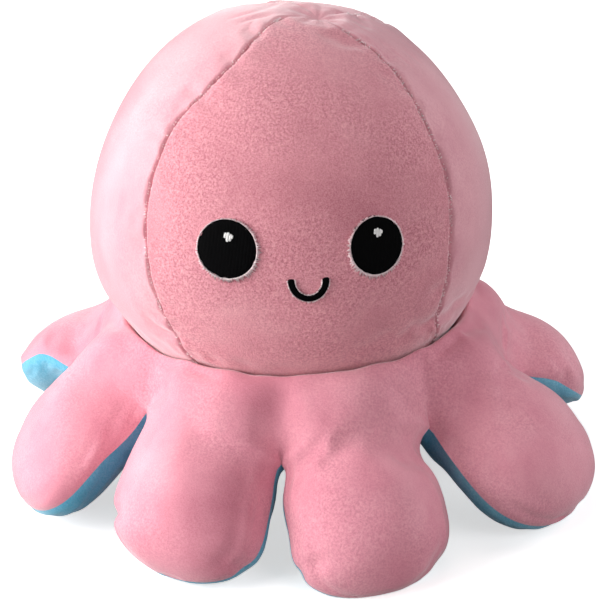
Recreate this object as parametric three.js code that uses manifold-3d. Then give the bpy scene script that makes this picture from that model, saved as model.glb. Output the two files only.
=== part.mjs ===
// Plush octopus that turns inside out: a stuffed pink head on a skirt of eight stuffed arms, with a blue side
// underneath and a blue pocket up inside the head. Millimetres, +Z up. The origin is on the surface that the toy
// stands on, under the middle of the head, and the face looks along -Y. Left and right are the viewer's.

import * as THREE from 'three';
import { mergeVertices } from 'three/addons/utils/BufferGeometryUtils.js';
import Module from 'manifold-3d';

const wasm = await Module();
wasm.setup();

// Cloth and clearances
const fabric = 2.5; // velvet with its pile and the seam allowance behind it
const gap = 0.3; // between a cover and what it covers
const slideGap = 0.6; // between the head and the seat that it turns in
const weld = 0.0001; // vertices closer than this are one

// Head
const headRadius = 65;
const headLean = 7; // degrees that the crown leans back
const faceTurn = 2.6; // degrees that the face looks to the right
const panelCount = 4;
const seamDepth = 1.3;
const seamWidth = 6;
const crownDimple = 3;
const crownDimpleWidth = 9;

// Pocket that the toy turns inside out through
const mouthRadius = 28;
const lipFilling = 3.6; // filling between the two covers at the mouth
const pocketRadius = 34;
const pocketHeight = 69;
const pocketWidestShare = 0.45;
const pocketRoundPower = 2.2;

// Neck, where the head is sewn to the skirt
const neckDropShare = 0.532; // of the head's radius, below its middle
const neckSeamRadius = 1.3;

// Skirt
const skirtRise = 29.5; // from the root of the arms up to the neck
const skirtReach = 13; // from the neck out to the root of the arms
const skirtCrown = 2.6; // how far the cloth puffs between neck and arms
const slitEdge = 3.7; // half the thickness of the skirt at the end of a slit
const slitInset = 2.4; // how far the end of a slit lies inside the roots
const undersideDome = 2.5;
const throatEase = 2; // the hole in the underside is wider than the mouth of the pocket

// Arms
const armCount = 8;
const armTwist = -6.5; // degrees that the first slit lies to the left of the front
const armSlope = 38.5; // degrees down from the root to the tip
const armLength = 41;
const armTop = 20.2; // fullness of the pink side above the seam
const armRootTopShare = 0.84;
const armUnderside = 11; // fullness of the blue side below the seam
const armBow = 2; // how far the arm sags below a straight line
const tipHeight = 2; // of the seam at the tip
const slitRootWidth = 3.2;
const slitMiddleWidth = 8;
const rootStop = 6.5; // the skirt ends this far inside the hinge line
const creaseAngle = 27; // degrees past the hinge line where the ball of the root ends
const armCrownShare = 0.41;
const armWidestShare = 0.28;
const armUndersideFullShare = 0.52;
const armRoundPower = 2.2; // higher is blunter, seen from the side
const armSideRoundPower = 2.6; // and seen from above

// Embroidery
const thread = 0.8;
const eyeRadius = 9.4;
const eyeSpread = 20.4; // degrees from the middle of the face
const eyeRise = 8.8; // degrees above the widest line of the head
const glintRadius = 1.7;
const glintLongShare = 1.25;
const glintRise = 3.9;
const mouthHalf = 5.7;
const mouthDepth = 6.4;
const mouthStroke = 2.2;
const mouthRise = 0.9; // degrees above the widest line, of the ends of the mouth
const liningEyeRadius = 5.5;
const liningEyeSpread = 11;
const liningFaceShare = 0.46; // of the height of the pocket
const liningProud = 0.9; // the pocket's flat facets stand this far inside its round wall

// Facets
const panelColumns = 6;
const panelRows = 10;
const liningRows = 6;
const sideColumns = 6; // round each side of an arm
const skirtColumns = 40;
const seatColumns = 12;
const seatRows = 8;
const neckSeamSides = 5;
const neckSeatSteps = 3; // up the skirt's filling under the head
const patchColumns = 18;
const patchRingShares = [0, 0.6, 1];
const glintColumns = 10;
const mouthSteps = 12;
const skirtRunShares = [1 / 3, 2 / 3]; // stations between the two edges of the skirt's cloth
const ballAngles = [90, 60, 32, 0]; // stations of an arm's ball, in degrees inwards from the hinge line
const limbShares = [0.26, armCrownShare, 0.64, 0.83, 0.95, 1]; // stations along an arm past its crease

// Places that follow from the sizes
const rad = THREE.MathUtils.degToRad;
const slope = rad(armSlope);
const pitch = rad(360 / armCount);
const down = new THREE.Vector2(Math.cos(slope), -Math.sin(slope)); // along an arm, in its upright section
const proud = new THREE.Vector2(Math.sin(slope), Math.cos(slope)); // square to the arm's seam
const neckDrop = headRadius * neckDropShare;
const neckRadius = Math.sqrt(headRadius ** 2 - neckDrop ** 2);
const rootRadius = neckRadius + skirtReach;
const rootHeight = tipHeight + armLength * Math.sin(slope);
const neckHeight = rootHeight + skirtRise;
const headHeight = neckHeight + neckDrop;
const seatRadius = headRadius + slideGap;
const lipRadius = mouthRadius + 2 * fabric + lipFilling;
const lipDrop = Math.sqrt(headRadius ** 2 - lipRadius ** 2);
const lipHeight = headHeight - lipDrop;
const rootTop = armTop * armRootTopShare;
const ballRadius = (rootTop + armUnderside) / 2;
const hingeRise = (rootTop - armUnderside) / 2; // of the hinge line above the seam
const halfPitchShare = Math.tan(pitch / 2);
const ballHalf = rootRadius * halfPitchShare - slitRootWidth / 2;
const widestReach = armLength * armWidestShare * Math.cos(slope);
const armHalf = (rootRadius + widestReach) * halfPitchShare - slitMiddleWidth / 2;

// Colours
const pink = { color: 0xeb9cae, roughness: 0.95, metalness: 0 };
const blue = { color: 0x3f9dc4, roughness: 0.95, metalness: 0 };
const black = { color: 0x141214, roughness: 0.5, metalness: 0 };
const white = { color: 0xf4f2f0, roughness: 0.6, metalness: 0 };
const fibre = { color: 0xf1efe9, roughness: 1, metalness: 0 };

const toy = new THREE.Group();

function addPiece(name, geometry, finish) {
  const mesh = new THREE.Mesh(geometry, new THREE.MeshStandardMaterial(finish));
  mesh.name = name;
  toy.add(mesh);
}

// Shape helpers

// Joins the rows of points with triangles
function skin(faces, rows, turned) {
  for (let i = 0; i < rows.length - 1; i++) {
    for (let j = 0; j < rows[i].length - 1; j++) {
      const [a, b] = [rows[i][j], rows[i][j + 1]];
      const [d, c] = [rows[i + 1][j], rows[i + 1][j + 1]];
      if (turned) faces.push([a, c, b], [a, d, c]);
      else faces.push([a, b, c], [a, c, d]);
    }
  }
}

// Makes one closed geometry of the triangles, with its faces pointing out
function closeUp(faces) {
  const loose = new THREE.BufferGeometry();
  const places = faces.flat().flatMap((point) => point.toArray());
  loose.setAttribute('position', new THREE.Float32BufferAttribute(places, 3));
  const geometry = mergeVertices(loose, weld);
  const at = geometry.getIndex().array;
  const kept = [];
  for (let i = 0; i < at.length; i += 3) {
    const [a, b, c] = [at[i], at[i + 1], at[i + 2]];
    if (a !== b && b !== c && c !== a) kept.push([a, b, c]);
  }
  const spot = geometry.getAttribute('position');
  const corner = (i) => new THREE.Vector3().fromBufferAttribute(spot, i);
  const volume = kept.reduce((sum, [a, b, c]) => sum + corner(a).dot(corner(b).cross(corner(c))), 0);
  const outward = volume > 0 ? kept : kept.map(([a, b, c]) => [a, c, b]);
  geometry.setIndex(outward.flat());
  geometry.computeVertexNormals();
  return geometry;
}

// A closed skin round rows that go all the way round, pinched to a point at both ends
function roundSolid(rows) {
  const faces = [];
  skin(faces, rows.map((row) => [...row, row[0]]), false);
  return closeUp(faces);
}

// A ring: every row is a closed section, and the last row joins the first
function ringSolid(rows) {
  const faces = [];
  const closed = [...rows, rows[0]];
  skin(faces, closed.map((row) => [...row, row[0]]), false);
  return closeUp(faces);
}

// A band of cloth round the toy: both faces run on from the last row to the first, with a rim along each edge
function bandSolid(outer, inner) {
  const faces = [];
  const closed = (rows) => [...rows, rows[0]];
  const edge = (rows, side) => closed(rows).map((row) => row.at(side));
  skin(faces, closed(outer), false);
  skin(faces, closed(inner), true);
  skin(faces, [edge(outer, 0), edge(inner, 0)], false);
  skin(faces, [edge(outer, -1), edge(inner, -1)], true);
  return closeUp(faces);
}

// A cloth panel between its two faces, with a rim all round
function panelSolid(outer, inner) {
  const faces = [];
  skin(faces, outer, false);
  skin(faces, inner, true);
  const rim = (points) => [
    ...points[0],
    ...points.slice(1).map((row) => row.at(-1)),
    ...points.at(-1).slice(0, -1).reverse(),
    ...points.slice(0, -1).reverse().map((row) => row[0]),
  ];
  skin(faces, [rim(outer), rim(inner)], true);
  return closeUp(faces);
}

// An embroidered patch: rings round a middle, with a rim between its two faces
function patchSolid(outer, inner) {
  const faces = [];
  const round = (rows) => rows.map((row) => [...row, row[0]]);
  skin(faces, round(outer), false);
  skin(faces, round(inner), true);
  skin(faces, round([outer.at(-1), inner.at(-1)]), false);
  return closeUp(faces);
}

function toManifold(geometry) {
  const bare = geometry.clone();
  bare.deleteAttribute('normal');
  const merged = mergeVertices(bare, weld);
  const vertProperties = Float32Array.from(merged.getAttribute('position').array);
  const triVerts = Uint32Array.from(merged.getIndex().array);
  return new wasm.Manifold(new wasm.Mesh({ numProp: 3, vertProperties, triVerts }));
}

function fromManifold(solid) {
  const { vertProperties, triVerts, numProp } = solid.getMesh();
  const places = [];
  for (let i = 0; i < vertProperties.length; i += numProp) places.push(...vertProperties.slice(i, i + 3));
  const geometry = new THREE.BufferGeometry();
  geometry.setAttribute('position', new THREE.Float32BufferAttribute(places, 3));
  geometry.setIndex(Array.from(triVerts));
  geometry.computeVertexNormals();
  return geometry;
}

const steps = (count) => Array.from({ length: count + 1 }, (_, i) => i / count);
const ease = (share) => THREE.MathUtils.smoothstep(share, 0, 1);

// A point of an upright section, given by its radius and height, turned to an azimuth from the front
function spun(section, azimuth) {
  return new THREE.Vector3(section.x * Math.sin(azimuth), -section.x * Math.cos(azimuth), section.y);
}

// Head

const headMiddle = new THREE.Vector3(0, 0, headHeight);
const headPose = new THREE.Quaternion()
  .setFromAxisAngle(new THREE.Vector3(0, 0, 1), rad(faceTurn))
  .multiply(new THREE.Quaternion().setFromAxisAngle(new THREE.Vector3(1, 0, 0), -rad(headLean)));
const upInHead = new THREE.Vector3(0, 0, 1).applyQuaternion(headPose.clone().invert());

// Radius of the stuffed head, drawn in at the four seams and dimpled where they meet
function headReach(direction) {
  const local = direction.clone().applyQuaternion(headPose.clone().invert());
  const polar = Math.acos(THREE.MathUtils.clamp(local.z, -1, 1));
  const azimuth = Math.atan2(local.x, -local.y);
  const panel = (2 * Math.PI) / panelCount;
  const fromSeam = Math.abs(THREE.MathUtils.euclideanModulo(azimuth, panel) - panel / 2);
  const arc = headRadius * Math.sin(polar) * fromSeam;
  const seam = seamDepth * Math.exp(-((arc / seamWidth) ** 2));
  const dimple = crownDimple * Math.exp(-(((headRadius * polar) / crownDimpleWidth) ** 2));
  return headRadius - Math.max(seam, dimple);
}

// The point of the head in a direction, at a depth under its surface
function headPoint(direction, depth) {
  return direction.clone().multiplyScalar(headReach(direction) - depth).add(headMiddle);
}

// Angle from the crown down to the lip of the pocket, at an azimuth of the leaning head
function lipPolar(azimuth) {
  const across = Math.sin(azimuth) * upInHead.x - Math.cos(azimuth) * upInHead.y;
  const size = Math.hypot(across, upInHead.z);
  return Math.atan2(across, upInHead.z) + Math.acos(-lipDrop / headRadius / size);
}

// Rows of head points from the crown to the lip. A seam's clearance keeps the ends of each row off the seam.
function headRows(from, to, columns, depth, clearance) {
  const crown = Math.asin(Math.max(clearance, weld) / headRadius);
  return steps(panelRows).map((share) => {
    const polarAt = (azimuth) => crown + (lipPolar(azimuth) - crown) * share;
    const inset = (azimuth) => {
      const radius = (headRadius - depth) * Math.sin(polarAt(azimuth));
      return Math.min((to - from) / 2, Math.asin(Math.min(1, clearance / 2 / radius)));
    };
    const [start, end] = [from + inset(from), to - inset(to)];
    return steps(columns).map((across) => {
      const azimuth = start + (end - start) * across;
      const polar = polarAt(azimuth);
      const direction = new THREE.Vector3(
        Math.sin(polar) * Math.sin(azimuth),
        -Math.sin(polar) * Math.cos(azimuth),
        Math.cos(polar),
      ).applyQuaternion(headPose);
      const point = headPoint(direction, depth);
      if (share === 1) point.z = lipHeight;
      return point;
    });
  });
}

// Pocket

function pocketReach(share) {
  if (share < pocketWidestShare) {
    const turn = (share / pocketWidestShare) * (Math.PI / 2);
    return mouthRadius + (pocketRadius - mouthRadius) * Math.sin(turn);
  }
  const past = (share - pocketWidestShare) / (1 - pocketWidestShare);
  return pocketRadius * Math.sqrt(Math.max(0, 1 - past ** pocketRoundPower));
}

// The point of the pocket's wall at an azimuth and a share of its height, at a depth behind its blue face
function pocketPoint(azimuth, share, depth) {
  const reach = pocketReach(share);
  const height = lipHeight + (pocketHeight + depth) * share;
  const radius = share < pocketWidestShare ? reach + depth : reach * (1 + depth / pocketRadius);
  return spun(new THREE.Vector2(radius, height), azimuth);
}

// Rows from the mouth to the top of the pocket, closer together near the top
function liningRowsOf(from, to, columns, depth, clearance) {
  return steps(liningRows).map((step) => {
    const share = Math.sin((step * Math.PI) / 2);
    const wide = pocketPoint(from, share, depth);
    const radius = Math.max(Math.hypot(wide.x, wide.y), weld);
    const inset = Math.min((to - from) / 2, Math.asin(Math.min(1, clearance / 2 / radius)));
    const [start, end] = [from + inset, to - inset];
    return steps(columns).map((across) => pocketPoint(start + (end - start) * across, share, depth));
  });
}

const panelNames = ['face', 'right', 'back', 'left'];

function addHeadPanels() {
  const width = (2 * Math.PI) / panelCount;
  for (let i = 0; i < panelCount; i++) {
    const [from, to] = [(i - 0.5) * width, (i + 0.5) * width];
    const faceOf = (depth) => headRows(from, to, panelColumns, depth, gap);
    addPiece(`${panelNames[i]}_panel`, panelSolid(faceOf(0), faceOf(fabric)), pink);
    const liningOf = (depth) => liningRowsOf(from, to, panelColumns, depth, gap);
    addPiece(`pocket_${panelNames[i]}_panel`, panelSolid(liningOf(0), liningOf(fabric)), blue);
  }
}

function addHeadFilling() {
  const columns = panelCount * panelColumns;
  const depth = fabric + gap;
  const start = -Math.PI / panelCount;
  const open = (rows) => rows.map((row) => row.slice(0, -1));
  const outer = headRows(start, start + 2 * Math.PI, columns, depth, 0);
  const inner = liningRowsOf(start, start + 2 * Math.PI, columns, depth, 0);
  addPiece('head_filling', roundSolid([...open(outer), ...open(inner)]), fibre);
}

// Neck: the gathered seam between head and skirt, which the head turns with

const neckAngle = Math.asin(neckDrop / headRadius);
const neckOut = new THREE.Vector2(Math.cos(neckAngle), -Math.sin(neckAngle));
const headCentre = new THREE.Vector2(0, headHeight);

function addNeckSeam() {
  const middle = headCentre.clone().addScaledVector(neckOut, headRadius + gap + neckSeamRadius);
  const rows = steps(skirtColumns).slice(0, -1).map((turn) =>
    steps(neckSeamSides).slice(0, -1).map((round) => {
      const angle = 2 * Math.PI * round;
      const offset = new THREE.Vector2(Math.cos(angle), Math.sin(angle)).multiplyScalar(neckSeamRadius);
      return spun(middle.clone().add(offset), 2 * Math.PI * turn);
    }),
  );
  addPiece('neck_seam', ringSolid(rows), pink);
}

// Skirt

// The section of the skirt at an azimuth, as named points and runs, at a depth under its cloth
function skirtSection(azimuth, depth) {
  const fromArm = THREE.MathUtils.euclideanModulo(azimuth - rad(armTwist), pitch) - pitch / 2;
  const fullness = Math.sqrt(Math.max(0, 1 - (fromArm / (pitch / 2)) ** 2));
  const back = rootStop + slitInset * (1 - fullness) + depth;
  const seam = new THREE.Vector2(rootRadius, rootHeight).addScaledVector(down, -back);
  const topFullness = slitEdge + (rootTop - slitEdge) * fullness - depth;
  const underFullness = slitEdge + (armUnderside - slitEdge) * fullness - depth;
  const top = seam.clone().addScaledVector(proud, topFullness);
  const under = seam.clone().addScaledVector(proud, -underFullness);
  const neckEdge = headCentre.clone().addScaledVector(neckOut, headRadius + 2 * gap + 2 * neckSeamRadius);
  const neck = neckEdge.addScaledVector(proud, -depth);
  const puff = (share) => 4 * share * (1 - share);
  const topRun = skirtRunShares.map((share) =>
    neck.clone().lerp(top, share).addScaledVector(proud, skirtCrown * fullness * puff(share)),
  );
  const throatRadius = mouthRadius + throatEase;
  const throatTop = headHeight - Math.sqrt(seatRadius ** 2 - throatRadius ** 2);
  const throat = new THREE.Vector2(throatRadius, throatTop - fabric - 2 * slideGap + depth);
  const knee = new THREE.Vector2(throatRadius + fabric + gap, throat.y); // where the filling stops
  const underRun = skirtRunShares.map((share) => {
    const point = under.clone().lerp(knee, share);
    point.y += undersideDome * puff(share);
    return point;
  });
  return { neck, topRun, top, seam, under, underRun: [...underRun, knee], throat };
}

// Rows of the skirt's sections, as a loop that takes each section's points in order
function skirtRows(loopOf) {
  return steps(skirtColumns).slice(0, -1).map((turn) => {
    const azimuth = 2 * Math.PI * turn + rad(armTwist);
    return loopOf(azimuth).map((point) => spun(point, azimuth));
  });
}

const lifted = (point, rise) => point.clone().addScaledVector(proud, rise);

function skirtTopRun(azimuth, depth) {
  const cloth = skirtSection(azimuth, depth);
  return [cloth.neck, ...cloth.topRun, cloth.top, lifted(cloth.seam, gap / 2)];
}

function skirtUndersideRun(azimuth, depth) {
  const cloth = skirtSection(azimuth, depth);
  return [lifted(cloth.seam, -gap / 2), cloth.under, ...cloth.underRun, cloth.throat];
}

function skirtFillingLoop(azimuth) {
  const core = skirtSection(azimuth, fabric + gap);
  const low = Math.acos(core.underRun.at(-1).x / seatRadius);
  const high = Math.atan2(headHeight - core.neck.y, core.neck.x);
  const seat = steps(neckSeatSteps).map((share) => {
    const angle = low + (high - low) * share;
    const out = new THREE.Vector2(Math.cos(angle), -Math.sin(angle));
    return headCentre.clone().addScaledVector(out, seatRadius);
  });
  const outside = [core.neck, ...core.topRun, core.top, core.seam, core.under, ...core.underRun];
  return [...seat, ...outside];
}

// Arms. Each one hinges on a line across its root, where a ball-shaped end lies in a seat in the skirt.

const armNames = [
  'front_right', 'right_front', 'right_back', 'back_right', 'back_left', 'left_back', 'left_front', 'front_left',
];
const armAzimuth = (index) => rad(armTwist) + (index + 0.5) * pitch;

// From an arm's own frame, along it, across it and square to its seam, to the toy's frame
function placed(index, x, y, z) {
  const section = new THREE.Vector2(rootRadius, rootHeight).addScaledVector(down, x).addScaledVector(proud, z);
  const azimuth = armAzimuth(index);
  const across = new THREE.Vector3(Math.cos(azimuth), Math.sin(azimuth), 0);
  return spun(section, azimuth).addScaledVector(across, y);
}

// Stations from the inner end to the tip. Each has its place along the arm, the fullness above and below the middle
// of its section, its half width, the height of that middle, and how far the section is rounded off.
function armStations() {
  const ball = ballAngles.map((angle) => ({
    x: -ballRadius * Math.sin(rad(angle)),
    top: ballRadius,
    under: ballRadius,
    half: ballHalf,
    middle: hingeRise,
    roundTop: Math.cos(rad(angle)),
    roundUnder: Math.cos(rad(angle)),
    roundSide: Math.cos(rad(angle)),
  }));
  const creaseX = ballRadius * Math.sin(rad(creaseAngle));
  const creaseShare = creaseX / armLength;
  const limb = [creaseShare, ...limbShares].map((share) => {
    const rise = ease((share - creaseShare) / (armCrownShare - creaseShare));
    const spread = Math.min(1, share / armWidestShare);
    const middle = hingeRise * (1 - ease(share / armCrownShare));
    const creased = ballRadius * Math.cos(rad(creaseAngle)) + hingeRise;
    const past = (start, power) => Math.max(0, (share - start) / (1 - start)) ** power;
    return {
      x: armLength * share,
      top: creased + (armTop - creased) * rise - middle,
      under: armUnderside + middle,
      half: ballHalf + (armHalf - ballHalf) * Math.sin((spread * Math.PI) / 2),
      middle,
      roundTop: Math.sqrt(1 - past(armCrownShare, armRoundPower)),
      roundUnder: Math.sqrt(1 - past(armUndersideFullShare, armRoundPower)),
      roundSide: Math.sqrt(1 - past(armWidestShare, armSideRoundPower)),
    };
  });
  return [...ball, ...limb];
}

// Rows of points round one side of an arm, from seam to seam. The side is 1 for the pink top and -1 for the blue
// underside, which is flat where it lies on the ground.
function armRows(index, side, depth, lift) {
  return armStations().map((station) => {
    const { x, middle } = station;
    const along = x < 0 ? x * (1 - depth / ballRadius) : x * (1 - depth / armLength);
    const share = Math.max(0, x / armLength);
    const bow = 4 * armBow * share * (1 - share);
    const half = (station.half - depth) * station.roundSide;
    const above = (station.top - depth) * station.roundTop;
    const below = (station.under - depth) * station.roundUnder;
    const dip = Math.asin(middle / station.under);
    const [from, to] = side > 0 ? [-dip, Math.PI + dip] : [Math.PI + dip, 2 * Math.PI - dip];
    return steps(sideColumns).map((step) => {
      const angle = from + (to - from) * step;
      const height = Math.sin(angle) * (Math.sin(angle) > 0 ? above : below);
      const point = placed(index, along, half * Math.cos(angle), middle + height - bow + lift);
      point.z = Math.max(point.z, depth);
      return point;
    });
  });
}

function addArm(index) {
  const coverOf = (side) => {
    const rowsAt = (depth) => armRows(index, side, depth, (side * gap) / 2);
    return panelSolid(rowsAt(0), rowsAt(fabric));
  };
  const depth = fabric + gap;
  const topRows = armRows(index, 1, depth, 0);
  const underRows = armRows(index, -1, depth, 0);
  const core = topRows.map((row, i) => [...row, ...underRows[i].slice(1, -1)]);
  addPiece(`${armNames[index]}_arm_top`, coverOf(1), pink);
  addPiece(`${armNames[index]}_arm_underside`, coverOf(-1), blue);
  addPiece(`${armNames[index]}_arm_filling`, roundSolid(core), fibre);
}

// The seat of an arm: the ball of its root with its clearance, turned about the hinge line
function seatTool(index) {
  const facetShare = 1 / Math.cos(Math.PI / seatColumns);
  const radius = (ballRadius + gap + gap / 2) * facetShare;
  const geometry = new THREE.SphereGeometry(1, seatColumns, seatRows);
  geometry.scale(radius, (ballHalf + gap) * facetShare, radius);
  const hinge = placed(index, 0, 0, hingeRise);
  geometry.rotateY(slope);
  geometry.rotateZ(armAzimuth(index) - Math.PI / 2);
  geometry.translate(hinge.x, hinge.y, hinge.z);
  geometry.deleteAttribute('uv');
  return geometry;
}

function addSkirt() {
  const seats = armNames.map((_, index) => toManifold(seatTool(index)));
  const seated = (geometry) => {
    let piece = toManifold(geometry);
    for (const seat of seats) piece = piece.subtract(seat);
    return fromManifold(piece);
  };
  const coverOf = (runOf) => {
    const rowsAt = (depth) => skirtRows((azimuth) => runOf(azimuth, depth));
    return bandSolid(rowsAt(0), rowsAt(fabric));
  };
  addPiece('skirt_top', seated(coverOf(skirtTopRun)), pink);
  addPiece('skirt_underside', seated(coverOf(skirtUndersideRun)), blue);
  addPiece('skirt_filling', seated(ringSolid(skirtRows(skirtFillingLoop))), fibre);
}

// Embroidery

// Places a flat drawing, across and up in millimetres, on the head round a middle given in degrees
function onHead(azimuthDegrees, riseDegrees) {
  const [azimuth, rise] = [rad(azimuthDegrees), rad(riseDegrees)];
  const out = spun(new THREE.Vector2(Math.cos(rise), Math.sin(rise)), azimuth);
  const right = new THREE.Vector3(Math.cos(azimuth), Math.sin(azimuth), 0);
  const up = new THREE.Vector3().crossVectors(right, out).negate();
  return (x, y, proudness) => {
    const direction = out.clone().multiplyScalar(headRadius).addScaledVector(right, x).addScaledVector(up, y);
    return headPoint(direction.normalize(), -proudness);
  };
}

// Places a flat drawing on the front wall of the pocket, where its blue side is the face
function onPocket(middle) {
  return (x, y, proudness) => {
    const azimuth = Math.PI + rad(faceTurn) + (middle + x) / pocketRadius;
    return pocketPoint(azimuth, liningFaceShare + y / pocketHeight, -proudness - liningProud);
  };
}

function discAt(place, halfWidth, halfHeight, columns, low) {
  const face = (proudness) =>
    patchRingShares.map((share) =>
      steps(columns).slice(0, -1).map((turn) => {
        const angle = 2 * Math.PI * turn;
        const [x, y] = [halfWidth * share * Math.cos(angle), halfHeight * share * Math.sin(angle)];
        return place(x, y, proudness);
      }),
    );
  return patchSolid(face(low + thread), face(low));
}

// A stitched curve: a band along half an oval, open side up for a smile and down for a frown
function smileAt(place, bend) {
  const face = (proudness) =>
    steps(mouthSteps).map((step) =>
      [-0.5, 0.5].map((side) => {
        const angle = Math.PI * step;
        const spreadShare = 1 + (side * mouthStroke) / mouthHalf;
        const x = -mouthHalf * spreadShare * Math.cos(angle);
        const y = -bend * (mouthDepth + side * mouthStroke) * Math.sin(angle);
        return place(x, y, proudness);
      }),
    );
  return panelSolid(face(gap + thread), face(gap));
}

function addFace() {
  for (const [name, side] of [['left', -1], ['right', 1]]) {
    const place = onHead(faceTurn + side * eyeSpread, eyeRise);
    addPiece(`${name}_eye`, discAt(place, eyeRadius, eyeRadius, patchColumns, gap), black);
    const glintPlace = (x, y, proudness) => place(x, y + glintRise, proudness);
    const glint = discAt(glintPlace, glintRadius, glintRadius * glintLongShare, glintColumns, 2 * gap + thread);
    addPiece(`${name}_eye_glint`, glint, white);
    const inner = discAt(onPocket(side * liningEyeSpread), liningEyeRadius, liningEyeRadius, patchColumns, gap);
    addPiece(`pocket_${name}_eye`, inner, black);
  }
  addPiece('mouth', smileAt(onHead(faceTurn, mouthRise), 1), black);
  const below = (x, y, proudness) => onPocket(0)(x, y - liningEyeRadius - mouthDepth, proudness);
  addPiece('pocket_mouth', smileAt(below, -1), black);
}

addHeadPanels();
addHeadFilling();
addFace();
addNeckSeam();
addSkirt();
armNames.forEach((_, index) => addArm(index));

export default toy;
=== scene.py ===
# Plush octopus that turns inside out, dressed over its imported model
import math

import bmesh
import bpy
import numpy as np
from mathutils import Matrix, Vector
from mathutils.bvhtree import BVHTree
from mathutils.kdtree import KDTree


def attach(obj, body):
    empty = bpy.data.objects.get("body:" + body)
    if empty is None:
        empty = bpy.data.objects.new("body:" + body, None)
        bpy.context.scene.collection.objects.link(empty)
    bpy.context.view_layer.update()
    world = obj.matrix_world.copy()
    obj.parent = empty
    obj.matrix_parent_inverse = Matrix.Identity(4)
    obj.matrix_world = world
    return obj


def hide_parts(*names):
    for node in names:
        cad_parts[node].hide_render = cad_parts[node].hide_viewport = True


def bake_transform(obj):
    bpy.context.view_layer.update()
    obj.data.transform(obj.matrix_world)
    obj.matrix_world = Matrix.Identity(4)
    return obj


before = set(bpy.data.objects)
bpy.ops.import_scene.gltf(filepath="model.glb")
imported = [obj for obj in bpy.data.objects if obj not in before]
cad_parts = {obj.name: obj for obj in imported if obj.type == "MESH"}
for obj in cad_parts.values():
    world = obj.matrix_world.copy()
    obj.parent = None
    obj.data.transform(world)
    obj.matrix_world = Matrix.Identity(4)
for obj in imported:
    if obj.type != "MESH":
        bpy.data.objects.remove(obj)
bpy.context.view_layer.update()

print("frame loaded:", len(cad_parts), "nodes")

# Shapes are worked out in millimetres, on grids of points: rows run down a panel, columns across it


def unit(vectors):
    return vectors / np.maximum(np.linalg.norm(vectors, axis=-1, keepdims=True), 1e-12)


def ease(share):
    share = np.clip(share, 0, 1)
    return share * share * (3 - 2 * share)


def swell(points, size, seed, waves=18):
    # a smooth random field of about one size, from waves in many directions
    draw = np.random.default_rng(seed)
    total = np.zeros(points.shape[:-1])
    for _ in range(waves):
        way = draw.normal(size=3)
        way *= 2 * math.pi / (size * draw.uniform(0.7, 1.5) * np.linalg.norm(way))
        total += np.sin(points @ way + draw.uniform(0, 2 * math.pi))
    return total / math.sqrt(waves / 2)


def through(shares, values, at):
    # a smooth curve through the values
    shares, values = np.asarray(shares, float), np.asarray(values, float)
    slopes = np.gradient(values, shares, axis=0)
    k = np.clip(np.searchsorted(shares, at, side="right") - 1, 0, len(shares) - 2)
    width = shares[k + 1] - shares[k]
    t = (at - shares[k]) / width
    if values.ndim > 1:
        t, width = t[:, None, None], width[:, None, None]
    start = (2 * t**3 - 3 * t**2 + 1) * values[k] + (t**3 - 2 * t**2 + t) * width * slopes[k]
    return start + (3 * t**2 - 2 * t**3) * values[k + 1] + (t**3 - t**2) * width * slopes[k + 1]


def direction(azimuth, rise):
    # azimuth in degrees from the front towards the viewer's right, rise above the level
    azimuth, rise = np.radians(azimuth), np.radians(rise)
    return np.stack([np.cos(rise) * np.sin(azimuth), -np.cos(rise) * np.cos(azimuth), np.sin(rise)], -1)


def gridNormals(grid):
    along = np.gradient(grid, axis=0)
    across = np.gradient(grid, axis=1)
    normals = np.cross(along, across)
    size = np.linalg.norm(normals, axis=-1)
    for row in range(1, len(grid)):
        lost = size[row] < 1e-7
        normals[row][lost] = normals[row - 1][lost]
    if (size[0] < 1e-7).any():
        normals[0] = normals[1]
    return unit(normals)


def quads(at):
    # the corners of each field of a grid of point numbers
    return np.stack([at[:-1, :-1], at[1:, :-1], at[1:, 1:], at[:-1, 1:]], -1).reshape(-1, 4)


def gridFaces(rows, columns, first=0, turned=False):
    faces = quads(np.arange(rows * columns).reshape(rows, columns) + first)
    return faces[:, ::-1] if turned else faces


def rimFaces(rows, columns, second):
    at = np.arange(rows * columns).reshape(rows, columns)
    loop = np.concatenate([at[0, :], at[1:, -1], at[-1, -2::-1], at[-2:0:-1, 0]])
    after = np.roll(loop, -1)
    return np.stack([loop, after, after + second, loop + second], -1)


welding = {"points": 2e-6, "slivers": 1e-6, "sharpFrom": 50}  # metres, and degrees


def newPiece(name, points, faces, finish):
    mesh = bpy.data.meshes.new(name)
    mesh.from_pydata((np.asarray(points) / 1000).tolist(), [], [list(map(int, face)) for face in faces])
    piece = bpy.data.objects.new(name, mesh)
    bpy.context.scene.collection.objects.link(piece)
    mesh.materials.append(finish)
    welded = bmesh.new()
    welded.from_mesh(mesh)
    bmesh.ops.remove_doubles(welded, verts=welded.verts, dist=welding["points"])
    bmesh.ops.dissolve_degenerate(welded, edges=welded.edges, dist=welding["slivers"])
    welded.to_mesh(mesh)
    welded.free()
    mesh.polygons.foreach_set("use_smooth", [True] * len(mesh.polygons))
    return piece


def onFloor(grid):
    # cloth that would dip below the floor lies flat on it
    return grid + np.maximum(0, -grid[..., 2:]) * (0, 0, 1)


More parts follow.
